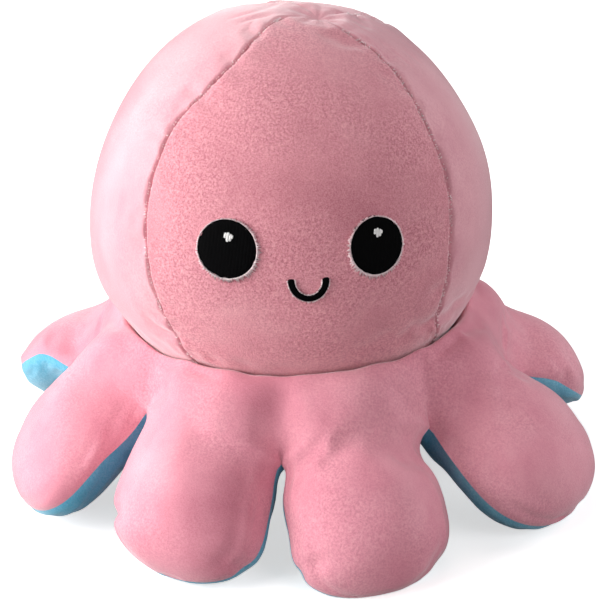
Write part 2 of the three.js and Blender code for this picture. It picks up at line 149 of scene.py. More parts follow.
def clothPiece(name, grid, thickness, finish, closed=False):
    # a panel of cloth: its outer face as a grid of points, its inner face a thickness behind
    rows, columns = grid.shape[:2]
    outer = onFloor(grid)
    inner = onFloor(outer - gridNormals(grid) * thickness)
    if closed:
        inner[:, -1] = inner[:, 0]
    points = np.concatenate([outer.reshape(-1, 3), inner.reshape(-1, 3)])
    count = rows * columns
    rim = rimFaces(rows, columns, count)
    if closed:
        rim = np.concatenate([rim[: columns - 1], rim[columns + rows - 2 : 2 * columns + rows - 3]])
    faces = np.concatenate([gridFaces(rows, columns), gridFaces(rows, columns, count, True), rim])
    piece = newPiece(name, points, faces, finish)
    piece.data.set_sharp_from_angle(angle=math.radians(welding["sharpFrom"]))
    return piece


weave = {  # points of two panels that round to the same place, in fractions of a millimetre, are one
    "steps": 20, "quality": 6, "stiffness": 12, "bending": 0.8, "fractions": 50,
}


def sewnSheet(name, grids, held):
    # one sheet of the panels, joined where their points meet; how far each point is held is its weight
    spots, index, faces, pins = {}, [], [], {}
    for grid, hold in zip(grids, held):
        places = np.round(grid.reshape(-1, 3) * weave["fractions"]).astype(int).tolist()
        keys = [spots.setdefault(tuple(place), len(spots)) for place in places]
        for key, strength in zip(keys, hold.reshape(-1)):
            pins[key] = max(pins.get(key, 0), float(strength))
        at = np.array(keys).reshape(grid.shape[:2])
        index.append(at)
        for field in quads(at).tolist():
            corners = list(dict.fromkeys(field))
            if len(corners) > 2:
                faces.append(corners)
    points = np.zeros((len(spots), 3))
    for grid, at in zip(grids, index):
        points[at] = grid
    mesh = bpy.data.meshes.new(name)
    mesh.from_pydata((points / 1000).tolist(), [], faces)
    sheet = bpy.data.objects.new(name, mesh)
    bpy.context.scene.collection.objects.link(sheet)
    group = sheet.vertex_groups.new(name="held")
    for key, strength in pins.items():
        group.add([key], strength, "REPLACE")
    return sheet, points, index


def settleCloth(name, grids, held, panel):
    # lets the sewn panels take up their filling: a cloth pressed out from inside; gives back its movement
    sheet, points, index = sewnSheet(name, grids, held)
    settings = sheet.modifiers.new("cloth", "CLOTH").settings
    settings.quality = weave["quality"]
    settings.use_pressure = True
    settings.uniform_pressure_force = panel["pressure"]
    settings.shrink_min = -panel["growth"]
    settings.vertex_group_mass = "held"
    settings.tension_stiffness = settings.compression_stiffness = weave["stiffness"]
    settings.bending_stiffness = weave["bending"]
    settings.effector_weights.gravity = 0
    for step in range(1, weave["steps"] + 1):
        bpy.context.scene.frame_set(step)
    shaped = sheet.evaluated_get(bpy.context.evaluated_depsgraph_get())
    settled = np.array([list(vertex.co) for vertex in shaped.data.vertices]) * 1000
    bpy.context.scene.frame_set(1)
    mesh = sheet.data
    bpy.data.objects.remove(sheet)
    bpy.data.meshes.remove(mesh)
    moved = settled - points
    size = np.linalg.norm(moved, axis=-1, keepdims=True)
    print(f"{name}: {len(points)} points settled, moved {size.mean():.2f} mm, at most {size.max():.2f} mm")
    moved = moved * (panel["moveCap"] * np.tanh(size / panel["moveCap"]) / np.maximum(size, 1e-9))
    return [moved[at] for at in index]


def spread(moved, rows, columns):
    # a coarse grid's movement at finer rows and columns
    down = through(np.arange(moved.shape[0]), moved, rows)
    return through(np.arange(moved.shape[1]), down.transpose(1, 0, 2), columns).transpose(1, 0, 2)


# Finishes


def newFinish(name, color, roughness):
    finish = bpy.data.materials.new(name)
    finish.use_nodes = True
    finish.diffuse_color = (*color, 1)
    shader = finish.node_tree.nodes["Principled BSDF"]
    shader.inputs["Base Color"].default_value = (*color, 1)
    shader.inputs["Roughness"].default_value = roughness
    return finish, finish.node_tree.nodes, finish.node_tree.links, shader


def addNoise(nodes, links, coordinates, scale, detail, stretch=None, roughness=0.5):
    noise = nodes.new("ShaderNodeTexNoise")
    noise.inputs["Scale"].default_value = scale
    noise.inputs["Detail"].default_value = detail
    noise.inputs["Roughness"].default_value = roughness
    if stretch:
        mapping = nodes.new("ShaderNodeMapping")
        mapping.inputs["Scale"].default_value = stretch
        links.new(coordinates, mapping.inputs["Vector"])
        links.new(mapping.outputs["Vector"], noise.inputs["Vector"])
    else:
        links.new(coordinates, noise.inputs["Vector"])
    return noise.outputs["Fac"]


def addRamp(nodes, links, value, stops):
    ramp = nodes.new("ShaderNodeValToRGB")
    for element, (place, color) in zip(ramp.color_ramp.elements, (stops[0], stops[-1])):
        element.position = place
        element.color = (*color, 1)
    for place, color in stops[1:-1]:
        ramp.color_ramp.elements.new(place).color = (*color, 1)
    links.new(value, ramp.inputs["Fac"])
    return ramp.outputs["Color"]


def addMix(nodes, links, share, first, second):
    mix = nodes.new("ShaderNodeMix")
    mix.data_type = "RGBA"
    sockets = (mix.inputs["Factor"], mix.inputs["A"], mix.inputs["B"])
    for socket, value in zip(sockets, (share, first, second)):
        if hasattr(value, "is_linked"):
            links.new(value, socket)
        else:
            socket.default_value = value if isinstance(value, (int, float)) else (*value, 1)
    return mix.outputs["Result"]


def addMath(nodes, links, kind, first, second):
    step = nodes.new("ShaderNodeMath")
    step.operation = kind
    for socket, value in zip(step.inputs, (first, second)):
        if hasattr(value, "is_linked"):
            links.new(value, socket)
        else:
            socket.default_value = value
    return step.outputs["Value"]


velvet = {
    "roughness": 0.92, "sheenRoughness": 0.42, "specular": 0.12, "bump": 0.55,
    "patchScale": 22, "strokeScale": 95, "strokeStretch": (1, 1, 0.45), "strokeShare": 0.22,
    "wearScale": 42, "wearFrom": 0.36, "wearTo": 0.62, "leastWorn": 0.35, "mostWorn": 1.5,
    "clumpScale": 1400, "pileScale": 3000, "pileShare": 0.6, "clumpHeight": 0.6, "pileHeight": 0.4,
}


def velvetFinish(name, deep, plain, pale, brushed, grain, sheen, sheenTint, pileDepth):
    # short pile: broad brushed patches, a clumped grain, and a sheen where it is seen edge on
    finish, nodes, links, shader = newFinish(name, plain, velvet["roughness"])
    coordinates = nodes.new("ShaderNodeTexCoord").outputs["Object"]
    patches = addNoise(nodes, links, coordinates, velvet["patchScale"], 3, None, 0.55)
    strokes = addNoise(nodes, links, coordinates, velvet["strokeScale"], 2, velvet["strokeStretch"])
    clumps = addNoise(nodes, links, coordinates, velvet["clumpScale"], 3, None, 0.6)
    pile = addNoise(nodes, links, coordinates, velvet["pileScale"], 2, None, 0.7)
    swept = addRamp(nodes, links, patches, [(0.5 - brushed, deep), (0.5, plain), (0.5 + brushed, pale)])
    combed = addRamp(nodes, links, strokes, [(0.35, deep), (0.62, pale)])
    stroked = addMix(nodes, links, velvet["strokeShare"], swept, combed)
    worn = nodes.new("ShaderNodeMapRange")
    links.new(addNoise(nodes, links, coordinates, velvet["wearScale"], 2), worn.inputs["Value"])
    worn.inputs["From Min"].default_value = velvet["wearFrom"]
    worn.inputs["From Max"].default_value = velvet["wearTo"]
    worn.inputs["To Min"].default_value = grain * velvet["leastWorn"]
    worn.inputs["To Max"].default_value = grain * velvet["mostWorn"]
    clumped = addRamp(nodes, links, clumps, [(0.38, deep), (0.5, plain), (0.63, pale)])
    grained = addMix(nodes, links, worn.outputs["Result"], stroked, clumped)
    napped = addRamp(nodes, links, pile, [(0.36, deep), (0.64, pale)])
    links.new(addMix(nodes, links, grain * velvet["pileShare"], grained, napped), shader.inputs["Base Color"])
    clumpHeight = addMath(nodes, links, "MULTIPLY", clumps, velvet["clumpHeight"])
    pileHeight = addMath(nodes, links, "MULTIPLY", pile, velvet["pileHeight"])
    bump = nodes.new("ShaderNodeBump")
    bump.inputs["Strength"].default_value = velvet["bump"]
    bump.inputs["Distance"].default_value = pileDepth
    links.new(addMath(nodes, links, "ADD", clumpHeight, pileHeight), bump.inputs["Height"])
    links.new(bump.outputs["Normal"], shader.inputs["Normal"])
    shader.inputs["Sheen Weight"].default_value = sheen
    shader.inputs["Sheen Roughness"].default_value = velvet["sheenRoughness"]
    shader.inputs["Sheen Tint"].default_value = (*sheenTint, 1)
    shader.inputs["Specular IOR Level"].default_value = velvet["specular"]
    return finish


thread = {
    "spacing": 0.00042, "distortion": 1.6, "shineNoiseScale": 1500, "bump": 0.6, "height": 0.00018, "specular": 0.04,
}


def threadFinish(name, color, edge, gloss):
    # satin stitches: fine ribs of thread lying side by side, each rib painted lighter along its crest as a
    # painted highlight
    finish, nodes, links, shader = newFinish(name, color, gloss)
    coordinates = nodes.new("ShaderNodeTexCoord").outputs["Object"]
    ribs = nodes.new("ShaderNodeTexWave")
    ribs.wave_type, ribs.bands_direction = "BANDS", "X"
    ribs.inputs["Scale"].default_value = 1 / thread["spacing"] / 20 * 6.28
    ribs.inputs["Distortion"].default_value = thread["distortion"]
    ribs.inputs["Detail"].default_value = 2
    ribs.inputs["Detail Scale"].default_value = 2.5
    links.new(coordinates, ribs.inputs["Vector"])
    brokenShine = addNoise(nodes, links, coordinates, thread["shineNoiseScale"], 2)
    # painted highlight: the lighter edge colour is painted on the crests of the ribs, broken up by noise
    shine = addMath(nodes, links, "MULTIPLY", ribs.outputs["Fac"], brokenShine)
    links.new(addMix(nodes, links, shine, color, edge), shader.inputs["Base Color"])
    bump = nodes.new("ShaderNodeBump")
    bump.inputs["Strength"].default_value = thread["bump"]
    bump.inputs["Distance"].default_value = thread["height"]
    links.new(ribs.outputs["Fac"], bump.inputs["Height"])
    links.new(bump.outputs["Normal"], shader.inputs["Normal"])
    shader.inputs["Specular IOR Level"].default_value = thread["specular"]
    return finish


velvetLooks = {  # colours of the pile laid down, plain and brushed up, then how much of each effect shows
    "face": {
        "deep": (0.48, 0.14, 0.185), "plain": (0.70, 0.26, 0.315), "pale": (0.85, 0.43, 0.47),
        "brushed": 0.095, "grain": 0.75, "sheen": 0.75, "sheenTint": (1, 0.90, 0.92), "pileDepth": 0.0006,
    },
    "side": {
        "deep": (0.56, 0.215, 0.27), "plain": (0.72, 0.33, 0.385), "pale": (0.84, 0.48, 0.515),
        "brushed": 0.20, "grain": 0.24, "sheen": 0.75, "sheenTint": (1, 0.93, 0.94), "pileDepth": 0.0004,
    },
    "arm": {
        "deep": (0.56, 0.175, 0.24), "plain": (0.77, 0.285, 0.365), "pale": (0.88, 0.44, 0.505),
        "brushed": 0.19, "grain": 0.34, "sheen": 0.75, "sheenTint": (1, 0.92, 0.94), "pileDepth": 0.0005,
    },
    "blue": {
        "deep": (0.04, 0.29, 0.43), "plain": (0.09, 0.43, 0.61), "pale": (0.27, 0.53, 0.67),
        "brushed": 0.18, "grain": 0.34, "sheen": 0.6, "sheenTint": (0.82, 0.95, 1), "pileDepth": 0.0006,
    },
}
# pale pink for the ends of pile: a painted highlight, the same pink pile made pale where it catches the light
tuftHighlightLook = {
    "deep": (0.86, 0.60, 0.63), "plain": (0.94, 0.76, 0.78), "pale": (0.98, 0.88, 0.89),
    "brushed": 0.2, "grain": 0.2, "sheen": 0.3, "sheenTint": (1, 0.95, 0.95), "pileDepth": 0.0002,
}
velvets = {name: velvetFinish(f"{name} velvet", **look) for name, look in velvetLooks.items()}
# each thread's second colour is its painted highlight on the rib crests
threads = {
    "black": threadFinish("black thread", (0.0012, 0.0012, 0.0015), (0.004, 0.004, 0.0045), 0.9),
    "white": threadFinish("white thread", (0.80, 0.79, 0.78), (0.93, 0.92, 0.91), 0.5),
}
tuftHighlightFinish = velvetFinish("pile ends painted highlight", **tuftHighlightLook)
print("finishes mixed")

# Head: four panels that meet at the crown

head = {
    "centre": np.array([0, 0, 91.6]), "radius": 65, "lipHeight": 37.9,
    "poleAzimuth": 75, "poleRise": 80.5,
    "rows": 150, "columns": 84, "crowding": 0.12, "thickness": 1.5,
    "seamDepth": 0.9, "seamWidth": 0.7, "seamRise": 0.3, "seamRiseWidth": 6, "seamStart": 3, "seamFade": 12,
    "pinchDepth": 0.2, "pinchSize": 6, "pinchReach": 8, "pinchStart": 2.5, "pinchSeed": 11,
    "dimpleDepth": 1.7, "dimpleWidth": 3.4,
    "pleats": 9, "pleatDepth": 0.15, "pleatPlace": 5, "pleatReach": 8, "pleatStart": 4,
    "swellDepth": 0.45, "swellSize": 46, "swellStart": 20, "swellSeed": 4, "drawnIn": 0.65,
    "calmShare": 0.85, "calmFrom": 0.36, "calmReach": 0.14,
    "clothRows": 52, "clothColumns": 22, "seamHold": 0.9, "crownRows": 3, "stillBelow": 62, "stillReach": 12,
    "pressure": 4, "growth": 0.01, "moveCap": 1.4,
}
seamShares = (0, 0.06, 0.12, 0.2, 0.28, 0.36, 0.43, 0.5, 0.59, 0.65, 0.74, 0.83, 1)
seamAzimuths = [  # about the crown, in degrees, from the crown to the lip of the pocket
    (-70, -64.5, -53.5, -46, -46.8, -49.3, -48.4, -47.3, -44, -41.5, -36.3, -30, -26),
    (22, 36, 48, 51.3, 49, 47.6, 48.2, 47.5, 46, 46.6, 48, 54, 58),
    (128, 130, 133, 135, 136, 136, 135, 134, 134, 134, 135, 136, 138),
    (212, 216, 220, 224, 226, 227, 227, 226, 225, 225, 226, 228, 230),
]
headPanels = [
    ("face_panel", "face", 0), ("right_panel", "side", 1),
    ("back_panel", "side", 2), ("left_panel", "side", 3),
]
headBumps = [  # azimuth, rise, height, spread in degrees: where the filling pushes out or falls short
    (-86, -19, 3.0, 15), (-60, -30, 0.7, 14), (-88, 34, -1.3, 24), (-86, 60, -0.8, 18),
    (92, 34, -1.3, 26), (182, 66, -0.7, 11), (0, 2, -0.5, 20),
]
headFolds = [  # from azimuth and rise to azimuth and rise, depth and width in mm: creases in the cloth
    (76, 72, 70, 50, 0.7, 0.8), (90, 70, 80, 48, 0.7, 0.8), (104, 70, 92, 49, 0.6, 0.8),
    (62, 75, 62, 56, 0.6, 0.8), (-30, 84, -62, 76, 0.7, 1.3), (-80, 84, -85, 74, 0.6, 1.3),
    (-50, 80, -40, 72, 0.4, 1.1), (130, 80, 120, 70, 0.5, 1.2), (-48, -4, -60, -14, 0.35, 2.4),
    (-44, 22, -55, 14, 0.4, 2.6), (52, 6, 62, -2, 0.3, 2.4), (50, -14, 60, -24, 0.35, 2.4),
]


def turnToPole():
    pole = direction(head["poleAzimuth"], head["poleRise"])
    return np.array(Vector((0, 0, 1)).rotation_difference(Vector(pole)).to_matrix())


poleTurn = turnToPole()


def lipPolar(azimuth):
    # angle at the crown's pole down to the lip, which is level
    upright = poleTurn.T @ np.array([0, 0, 1.0])
    across = np.sin(azimuth) * upright[0] - np.cos(azimuth) * upright[1]
    size = np.hypot(across, upright[2])
    drop = (head["lipHeight"] - head["centre"][2]) / head["radius"]
    return np.arctan2(across, upright[2]) + np.arccos(drop / size)


def foldRelief(places):
    # the creases: each one deepest at its middle
    relief = np.zeros(places.shape[:-1])
    for azimuth0, rise0, azimuth1, rise1, depth, width in headFolds:
        start, end = direction(azimuth0, rise0) * head["radius"], direction(azimuth1, rise1) * head["radius"]
        share = np.clip((places - start) @ (end - start) / ((end - start) @ (end - start)), 0, 1)
        gap = np.linalg.norm(places - start - share[..., None] * (end - start), axis=-1)
        relief -= depth * np.exp(-((gap / width) ** 2)) * np.sin(np.pi * np.clip(share, 0.02, 0.98)) ** 0.6
    return relief


def headRelief(ways, fromPole, seamDistance, panel, detail):
    # how far the cloth stands off the round head, by way out from its centre
    relief = np.zeros(ways.shape[:-1])
    for azimuth, rise, height, spread in headBumps:
        angle = np.degrees(np.arccos(np.clip(ways @ direction(azimuth, rise), -1, 1)))
        relief += height * np.exp(-((angle / spread) ** 2))
    places = ways * head["radius"]
    swollen = swell(places, head["swellSize"], head["swellSeed"]) * ease(fromPole / head["swellStart"])
    relief += head["swellDepth"] * swollen - head["drawnIn"]
    if detail:
        relief += foldRelief(places)
    fade = ease((fromPole - head["seamStart"]) / head["seamFade"])
    relief += head["seamRise"] * np.exp(-((seamDistance / head["seamRiseWidth"]) ** 2)) * fade
    # the head keeps round where it sits in the skirt
    relief *= 1 - head["calmShare"] * ease((-ways[..., 2] - head["calmFrom"]) / head["calmReach"])
    relief -= detail * head["seamDepth"] * np.exp(-((seamDistance / head["seamWidth"]) ** 2)) * fade
    alongSeam = np.stack([fromPole, np.full_like(fromPole, panel * 40.0), seamDistance * 0.25], -1)
    pinch = swell(alongSeam, head["pinchSize"], head["pinchSeed"] + panel)
    pinch = pinch * np.exp(-((seamDistance / head["pinchReach"]) ** 2))
    return relief + detail * head["pinchDepth"] * pinch * ease(seamDistance / head["pinchStart"])


def panelAngles(panel, share, across):
    sides = [*seamAzimuths, [azimuth + 360 for azimuth in seamAzimuths[0]]]
    first = np.radians(through(seamShares, sides[panel], share))
    last = np.radians(through(seamShares, sides[panel + 1], share))
    return first + (last - first) * across, last - first


def headGrid(panel, rows, columns, detail):
    share = np.linspace(0.002, 1, rows)[:, None] * np.ones(columns)
    across = np.linspace(0, 1, columns)[None, :] * np.ones((rows, 1))
    across = across - head["crowding"] * np.sin(2 * np.pi * across)
    azimuth, width = panelAngles(panel, share, across)
    polar = share * lipPolar(azimuth)
    local = np.stack([np.sin(polar) * np.sin(azimuth), -np.sin(polar) * np.cos(azimuth), np.cos(polar)], -1)
    ways = local @ poleTurn.T
    fromPole = head["radius"] * polar
    seamDistance = head["radius"] * np.sin(polar) * width * np.minimum(across, 1 - across)
    relief = headRelief(ways, fromPole, seamDistance, panel, detail)
    relief -= head["dimpleDepth"] * np.exp(-((fromPole / head["dimpleWidth"]) ** 2))
    pleat = np.cos(head["pleats"] * azimuth + 1.3) + 0.6 * np.cos(2 * azimuth - 0.4)
    pleat = pleat * np.exp(-(((fromPole - head["pleatPlace"]) / head["pleatReach"]) ** 2))
    relief += detail * head["pleatDepth"] * pleat * ease(fromPole / head["pleatStart"])
    return head["centre"] + ways * (head["radius"] + relief)[..., None]


def headMovement():
    rows, columns = head["clothRows"], head["clothColumns"]
    grids = [headGrid(panel, rows, columns, 0) for _, _, panel in headPanels]
    held = []
    for grid in grids:
        hold = np.zeros((rows, columns))
        hold[:, 0] = hold[:, -1] = head["seamHold"]
        hold[: head["crownRows"]] = 1
        still = (head["stillBelow"] + head["stillReach"] / 2 - grid[..., 2]) / head["stillReach"]
        held.append(np.maximum(hold, ease(still)))
    return settleCloth("head cloth", grids, held, head)


headPieces, headSeams = {}, []
settled = headMovement()
for name, finish, panel in headPanels:
    grid = headGrid(panel, head["rows"], head["columns"], 1)
    if settled:
        rows = np.linspace(0, head["clothRows"] - 1, head["rows"])
        columns = np.linspace(0, head["clothColumns"] - 1, head["columns"])
        grid = grid + spread(settled[panel], rows, columns)
    headSeams.append(grid[:, 0])
    headPieces[name] = clothPiece(name.replace("panel", "cover"), grid, head["thickness"], velvets[finish])
    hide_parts(name)
    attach(headPieces[name], "head")

seamPile = {
    "count": 260, "first": 0.07, "last": 0.86, "length": 1.0, "width": 0.2, "aside": 0.3, "thickness": 0.35,
    "seed": 70,
}
spikeFaces = ((0, 2, 1), (0, 3, 2), (1, 2, 3), (0, 1, 3))


def tuftsPiece(name, corners):
    # short ends of pile, painted pale as a highlight where they catch the light: each one a closed spike with
    # three points at its foot and one at its tip
    first = 4 * np.arange(len(corners[0]))[:, None]
    faces = np.concatenate([first + np.array(face) for face in spikeFaces])
    piece = newPiece(name, np.stack(corners, 1).reshape(-1, 3), faces, tuftHighlightFinish)
    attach(piece, "head")


def seamTufts(name, seam):
    # ends of pile that stick out of a seam, painted pale as light catching them
    draw = np.random.default_rng(seamPile["seed"])
    count = seamPile["count"]
    at = draw.uniform(seamPile["first"], seamPile["last"], count) * (len(seam) - 1)
    spot, later = (through(np.arange(len(seam)), seam[:, None], place)[:, 0] for place in (at, at + 0.2))
    along, out = unit(later - spot), unit(spot - head["centre"])
    aside = np.cross(out, along) * draw.choice([-1, 1], count)[:, None]
    length = (seamPile["length"] * draw.uniform(0.4, 1.3, count))[:, None]
    tip = aside + along * draw.uniform(-1, 1, count)[:, None] + out * draw.uniform(0.3, 0.9, count)[:, None]
    base = spot + aside * seamPile["aside"] + out * head["seamDepth"] * 0.5
    wide = along * seamPile["width"]
    high = base + out * seamPile["thickness"]
    tuftsPiece(name, [base - wide, base + wide, high, base + unit(tip) * length])


for word, seam in zip(("left_face", "right_face", "right_back", "left_back"), headSeams):
    seamTufts(f"{word}_seam_tufts", seam)
print("head sewn")

# Pocket: four blue panels inside the head, open downwards, and a sleeve from its mouth to the skirt

pocket = {
    "mouthRadius": 28, "radius": 34, "height": 69, "widest": 0.45, "roundPower": 2.2,
    "lip": [(36.3, 38.7), (35.2, 37.4), (33, 36.5), (30.6, 36.4), (28.8, 37.2)],
    "rows": 64, "columns": 34, "thickness": 1.2, "seamDepth": 0.7, "seamWidth": 1.6,
    "swellDepth": 0.7, "swellSize": 22, "swellSeed": 61, "calmReach": 8,
    "faceShare": 0.46, "facePlace": 0.4, "eyeSpread": 11, "eyeSize": 5.5, "eyeSeed": 9,
}


def rounding(share, start, power):
    # 1 up to the start, then down to 0 at a share of 1 in a round curve
    past = np.maximum(0, (share - start) / (1 - start))
    return np.sqrt(np.maximum(0, 1 - past**power))


def pocketReach(share):
    widening = np.sin(np.minimum(1, share / pocket["widest"]) * np.pi / 2)
    opening = pocket["mouthRadius"] + (pocket["radius"] - pocket["mouthRadius"]) * widening
    return opening * rounding(share, pocket["widest"], pocket["roundPower"])


def evenly(profile, count):
    # a profile of radius and height, as points at even distances
    profile = np.array(profile)
    run = np.concatenate([[0], np.cumsum(np.linalg.norm(np.diff(profile, axis=0), axis=1))])
    at = np.linspace(0, run[-1], count)
    return np.interp(at, run, profile[:, 0]), np.interp(at, run, profile[:, 1])


def ringPoint(azimuth, radius, height):
    turn = np.radians(azimuth)
    return np.stack([radius * np.sin(turn), -radius * np.cos(turn), height + 0 * turn], -1)


def pocketGrid(panel):
    shares = np.sin(np.linspace(0.01, 1, 90) * np.pi / 2)
    wall = [(float(pocketReach(share)), head["lipHeight"] + pocket["height"] * share) for share in shares]
    radius, height = evenly(pocket["lip"] + wall, pocket["rows"])
    radius, height = radius[:, None], height[:, None]
    across = np.linspace(-45, 45, pocket["columns"])[None, :]
    grid = ringPoint(across + 90 * panel, radius, height)
    normals = gridNormals(grid)
    fromSeam = radius * np.radians(45 - np.abs(across))
    calm = ease((height - head["lipHeight"]) / pocket["calmReach"]) * ease(radius / pocket["calmReach"])
    relief = pocket["swellDepth"] * swell(grid, pocket["swellSize"], pocket["swellSeed"]) * calm
    relief = relief - pocket["seamDepth"] * np.exp(-((fromSeam / pocket["seamWidth"]) ** 2)) * calm
    return grid + normals * relief[..., None]


pocketPieces = {}
for name, _, panel in headPanels:
    cover = f"pocket_{name}".replace("panel", "cover")
    pocketPieces[name] = clothPiece(cover, pocketGrid(panel), pocket["thickness"], velvets["blue"])
    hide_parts(f"pocket_{name}")
    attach(pocketPieces[name], "head")

sleeveCut = {
    "profile": [(31.2, 30.2), (30.4, 32.6), (29.2, 35), (28.2, 37.4), (27.6, 40)],
    "rows": 14, "columns": 121, "thickness": 0.9, "folds": 36, "foldDepth": 0.35,
}


def sleeveGrid():
    radius, height = evenly(sleeveCut["profile"], sleeveCut["rows"])
    azimuths = np.linspace(0, 360, sleeveCut["columns"])[None, :]
    grid = ringPoint(azimuths, radius[:, None], height[:, None])
    folds = sleeveCut["foldDepth"] * np.cos(np.radians(azimuths) * sleeveCut["folds"])
    folds = folds * np.sin(np.linspace(0, np.pi, sleeveCut["rows"]))[:, None]
    grid = grid + gridNormals(grid) * folds[..., None]
    grid[:, -1] = grid[:, 0]
    return grid


sleeve = clothPiece("pocket_sleeve", sleeveGrid(), sleeveCut["thickness"], velvets["blue"], closed=True)
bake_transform(sleeve)

neckRing = {
    "distance": 66.4, "fall": 36.5, "tube": 1.1, "steps": 336, "sides": 10,
    "gathers": 84, "gatherDepth": 0.3, "uneven": 1.4, "unevenWaves": 7,
}


def neckPoints():
    # a thin gathered tube round the neck
    turn = np.linspace(0, 2 * np.pi, neckRing["steps"], endpoint=False)[:, None]
    side = np.linspace(0, 2 * np.pi, neckRing["sides"], endpoint=False)[None, :]
    gathers = np.cos(neckRing["gathers"] * turn + neckRing["uneven"] * np.sin(neckRing["unevenWaves"] * turn))
    tube = neckRing["tube"] + neckRing["gatherDepth"] * gathers
    fall = math.radians(neckRing["fall"])
    radius = neckRing["distance"] * math.cos(fall) + tube * np.cos(side)
    height = head["centre"][2] - neckRing["distance"] * math.sin(fall) + tube * np.sin(side)
    return np.stack([radius * np.sin(turn), -radius * np.cos(turn), height], -1)


at = np.arange(neckRing["steps"] * neckRing["sides"]).reshape(neckRing["steps"], neckRing["sides"])
at = np.pad(at, ((0, 1), (0, 1)), mode="wrap")
ring = newPiece("neck_gathers", neckPoints().reshape(-1, 3), quads(at), velvets["arm"])
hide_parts("neck_seam")
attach(ring, "neck")
print("pocket and neck sewn")

# Skirt and arms: each arm has a pink cover and a blue underside, cut in one with its share of the skirt

skirt = {
    "neckRadius": 53.4, "neckHeight": 53.6, "throatRadius": 30.6, "throatHeight": 31.2,
    "neckRows": 34, "armRows": 66, "columns": 56, "thickness": 1.3,
    "puff": 1.4, "underPuff": 2.2, "valleyOut": 2.4, "valleyUp": 4,
    "hugRun": 0.07, "hugOut": 0.66, "hugUp": 2.2, "softReach": 4, "softEnd": 0.6,
    "gatherDepth": 0.22, "gatherSize": 12, "gatherSeed": 51, "gatherRadius": 57,
    "swellDepth": 0.45, "swellSize": 30, "swellSeed": 21,
    "pinchDepth": 0.3, "pinchSize": 6, "pinchReach": 5, "pinchScale": 26, "pinchSeed": 41,
    "pinchFrom": 0.55, "pinchFull": 0.95, "pinchEdge": 1.2,
    "clothNeckRows": 9, "clothArmRows": 22, "clothColumns": 17,
    "seamHold": 0.85, "heldFrom": 0.85, "floorReach": 3, "pressure": 4, "growth": 0.008, "moveCap": 1.3,
}
arm = {
    "length": 46, "slope": 40, "half": 27.5, "top": 20, "rootTop": 15, "under": 11,
    "bow": 2, "roll": 0, "lean": 0,
    "crown": 0.41, "widest": 0.4, "underFull": 0.52, "roundPower": 2.2, "sidePower": 2.6,
    "notch": 1.3, "notchEnd": 0.7, "dents": [], "rootFade": 0.03,
    "soften": 0.8, "softenEnd": 0.6, "rollEnd": 0.5, "turnEnd": 0.35, "crowdEnd": 0.4,
}
valleys = {  # at each slit: how far the dip above it goes down in mm, and how flat the arms beside it start
    "depths": (2.4, 1.2, 0.6, 0.6, 0.6, 0.6, 0.8, 1.6), "flatness": (0.85, 1.5, 1.8, 2, 2, 2, 1.8, 1.3),
    "width": 3.2, "start": 0.45, "end": 0.8,
}
slits = [  # azimuth, radius and height of the end of each slit
    (-5.5, 67.5, 32.5), (38.5, 64, 34), (81, 69, 36), (128.5, 67, 33),
    (173, 67, 33), (219, 67.5, 33.5), (268, 69, 34.5), (307, 61, 36.5),
]
arms = {  # azimuth, and what differs from the plain arm
    "front_right": {
        "azimuth": 15.5, "length": 47.2, "slope": 46, "half": 25.4, "bow": 2.6, "roll": -1, "lean": -4.5,
        "widest": 0.55, "soften": 0.45, "notch": 2,
        "dents": [(-0.75, 1, 0.06), (0.85, 0.8, 0.05), (0.15, 3, 0.13), (-0.25, -1.8, 0.2)],
    },
    "right_front": {
        "azimuth": 57.5, "length": 49.5, "slope": 42.5, "half": 29.2, "top": 17.4, "under": 14.8,
        "bow": 0, "lean": 0.5,
    },
    "right_back": {
        "azimuth": 112, "length": 45, "slope": 40, "half": 27.2, "top": 17, "rootTop": 13.5, "under": 8.5,
        "roll": -12, "lean": 2, "dents": [(-0.5, 1, 0.08)],
    },
    "back_right": {"azimuth": 150, "length": 46, "slope": 41, "half": 27.5, "lean": -2},
    "back_left": {"azimuth": 197, "length": 47, "slope": 42.5, "half": 26.8, "roll": 4, "lean": 1.5},
    "left_back": {
        "azimuth": 236, "length": 43.5, "slope": 31.5, "half": 27.7, "top": 16, "rootTop": 15.2,
        "under": 13.2, "roll": 26, "lean": 2,
    },
    "left_front": {
        "azimuth": 284.3, "length": 46, "slope": 42, "half": 29.2, "top": 17, "rootTop": 16, "under": 14.8,
        "roll": 5, "lean": 5, "widest": 0.5, "dents": [(-0.7, 0.8, 0.07)],
    },
    "front_left": {
        "azimuth": 327.5, "length": 45.4, "slope": 44.5, "half": 26.2, "top": 20.8, "rootTop": 16,
        "under": 13.7, "bow": 3.5, "roll": -1, "lean": 5, "widest": 0.5, "soften": 0.2,
        "dents": [(-0.7, 2.4, 0.05), (0.8, 1, 0.06)],
    },
}


def limbShare(rows):
    # rows down an arm as shares of its length, closer together towards the tip
    return np.sin(np.linspace(0, 1, rows) ** 0.85 * np.pi / 2)


def crossing(bulge, columns):
    # places across a panel from -1 to 1: even on flat cloth, crowded towards the seams on a round limb
    even, crowded = np.linspace(-1, 1, columns), -np.cos(np.linspace(0, np.pi, columns))
    return even + (crowded - even) * bulge


def limbCrossing(rows, columns):
    return crossing(0.5 + 0.5 * ease(limbShare(rows)[:, None] / arm["crowdEnd"]), columns)


def armWays(own):
    # down the arm, out of its top, and across it
    azimuth, slope = np.radians(own["azimuth"]), np.radians(own["slope"])
    down = np.array([np.cos(slope) * np.sin(azimuth), -np.cos(slope) * np.cos(azimuth), -np.sin(slope)])
    proud = np.array([np.sin(slope) * np.sin(azimuth), -np.sin(slope) * np.cos(azimuth), np.cos(slope)])
    return down, proud, np.array([np.cos(azimuth), np.sin(azimuth), 0])


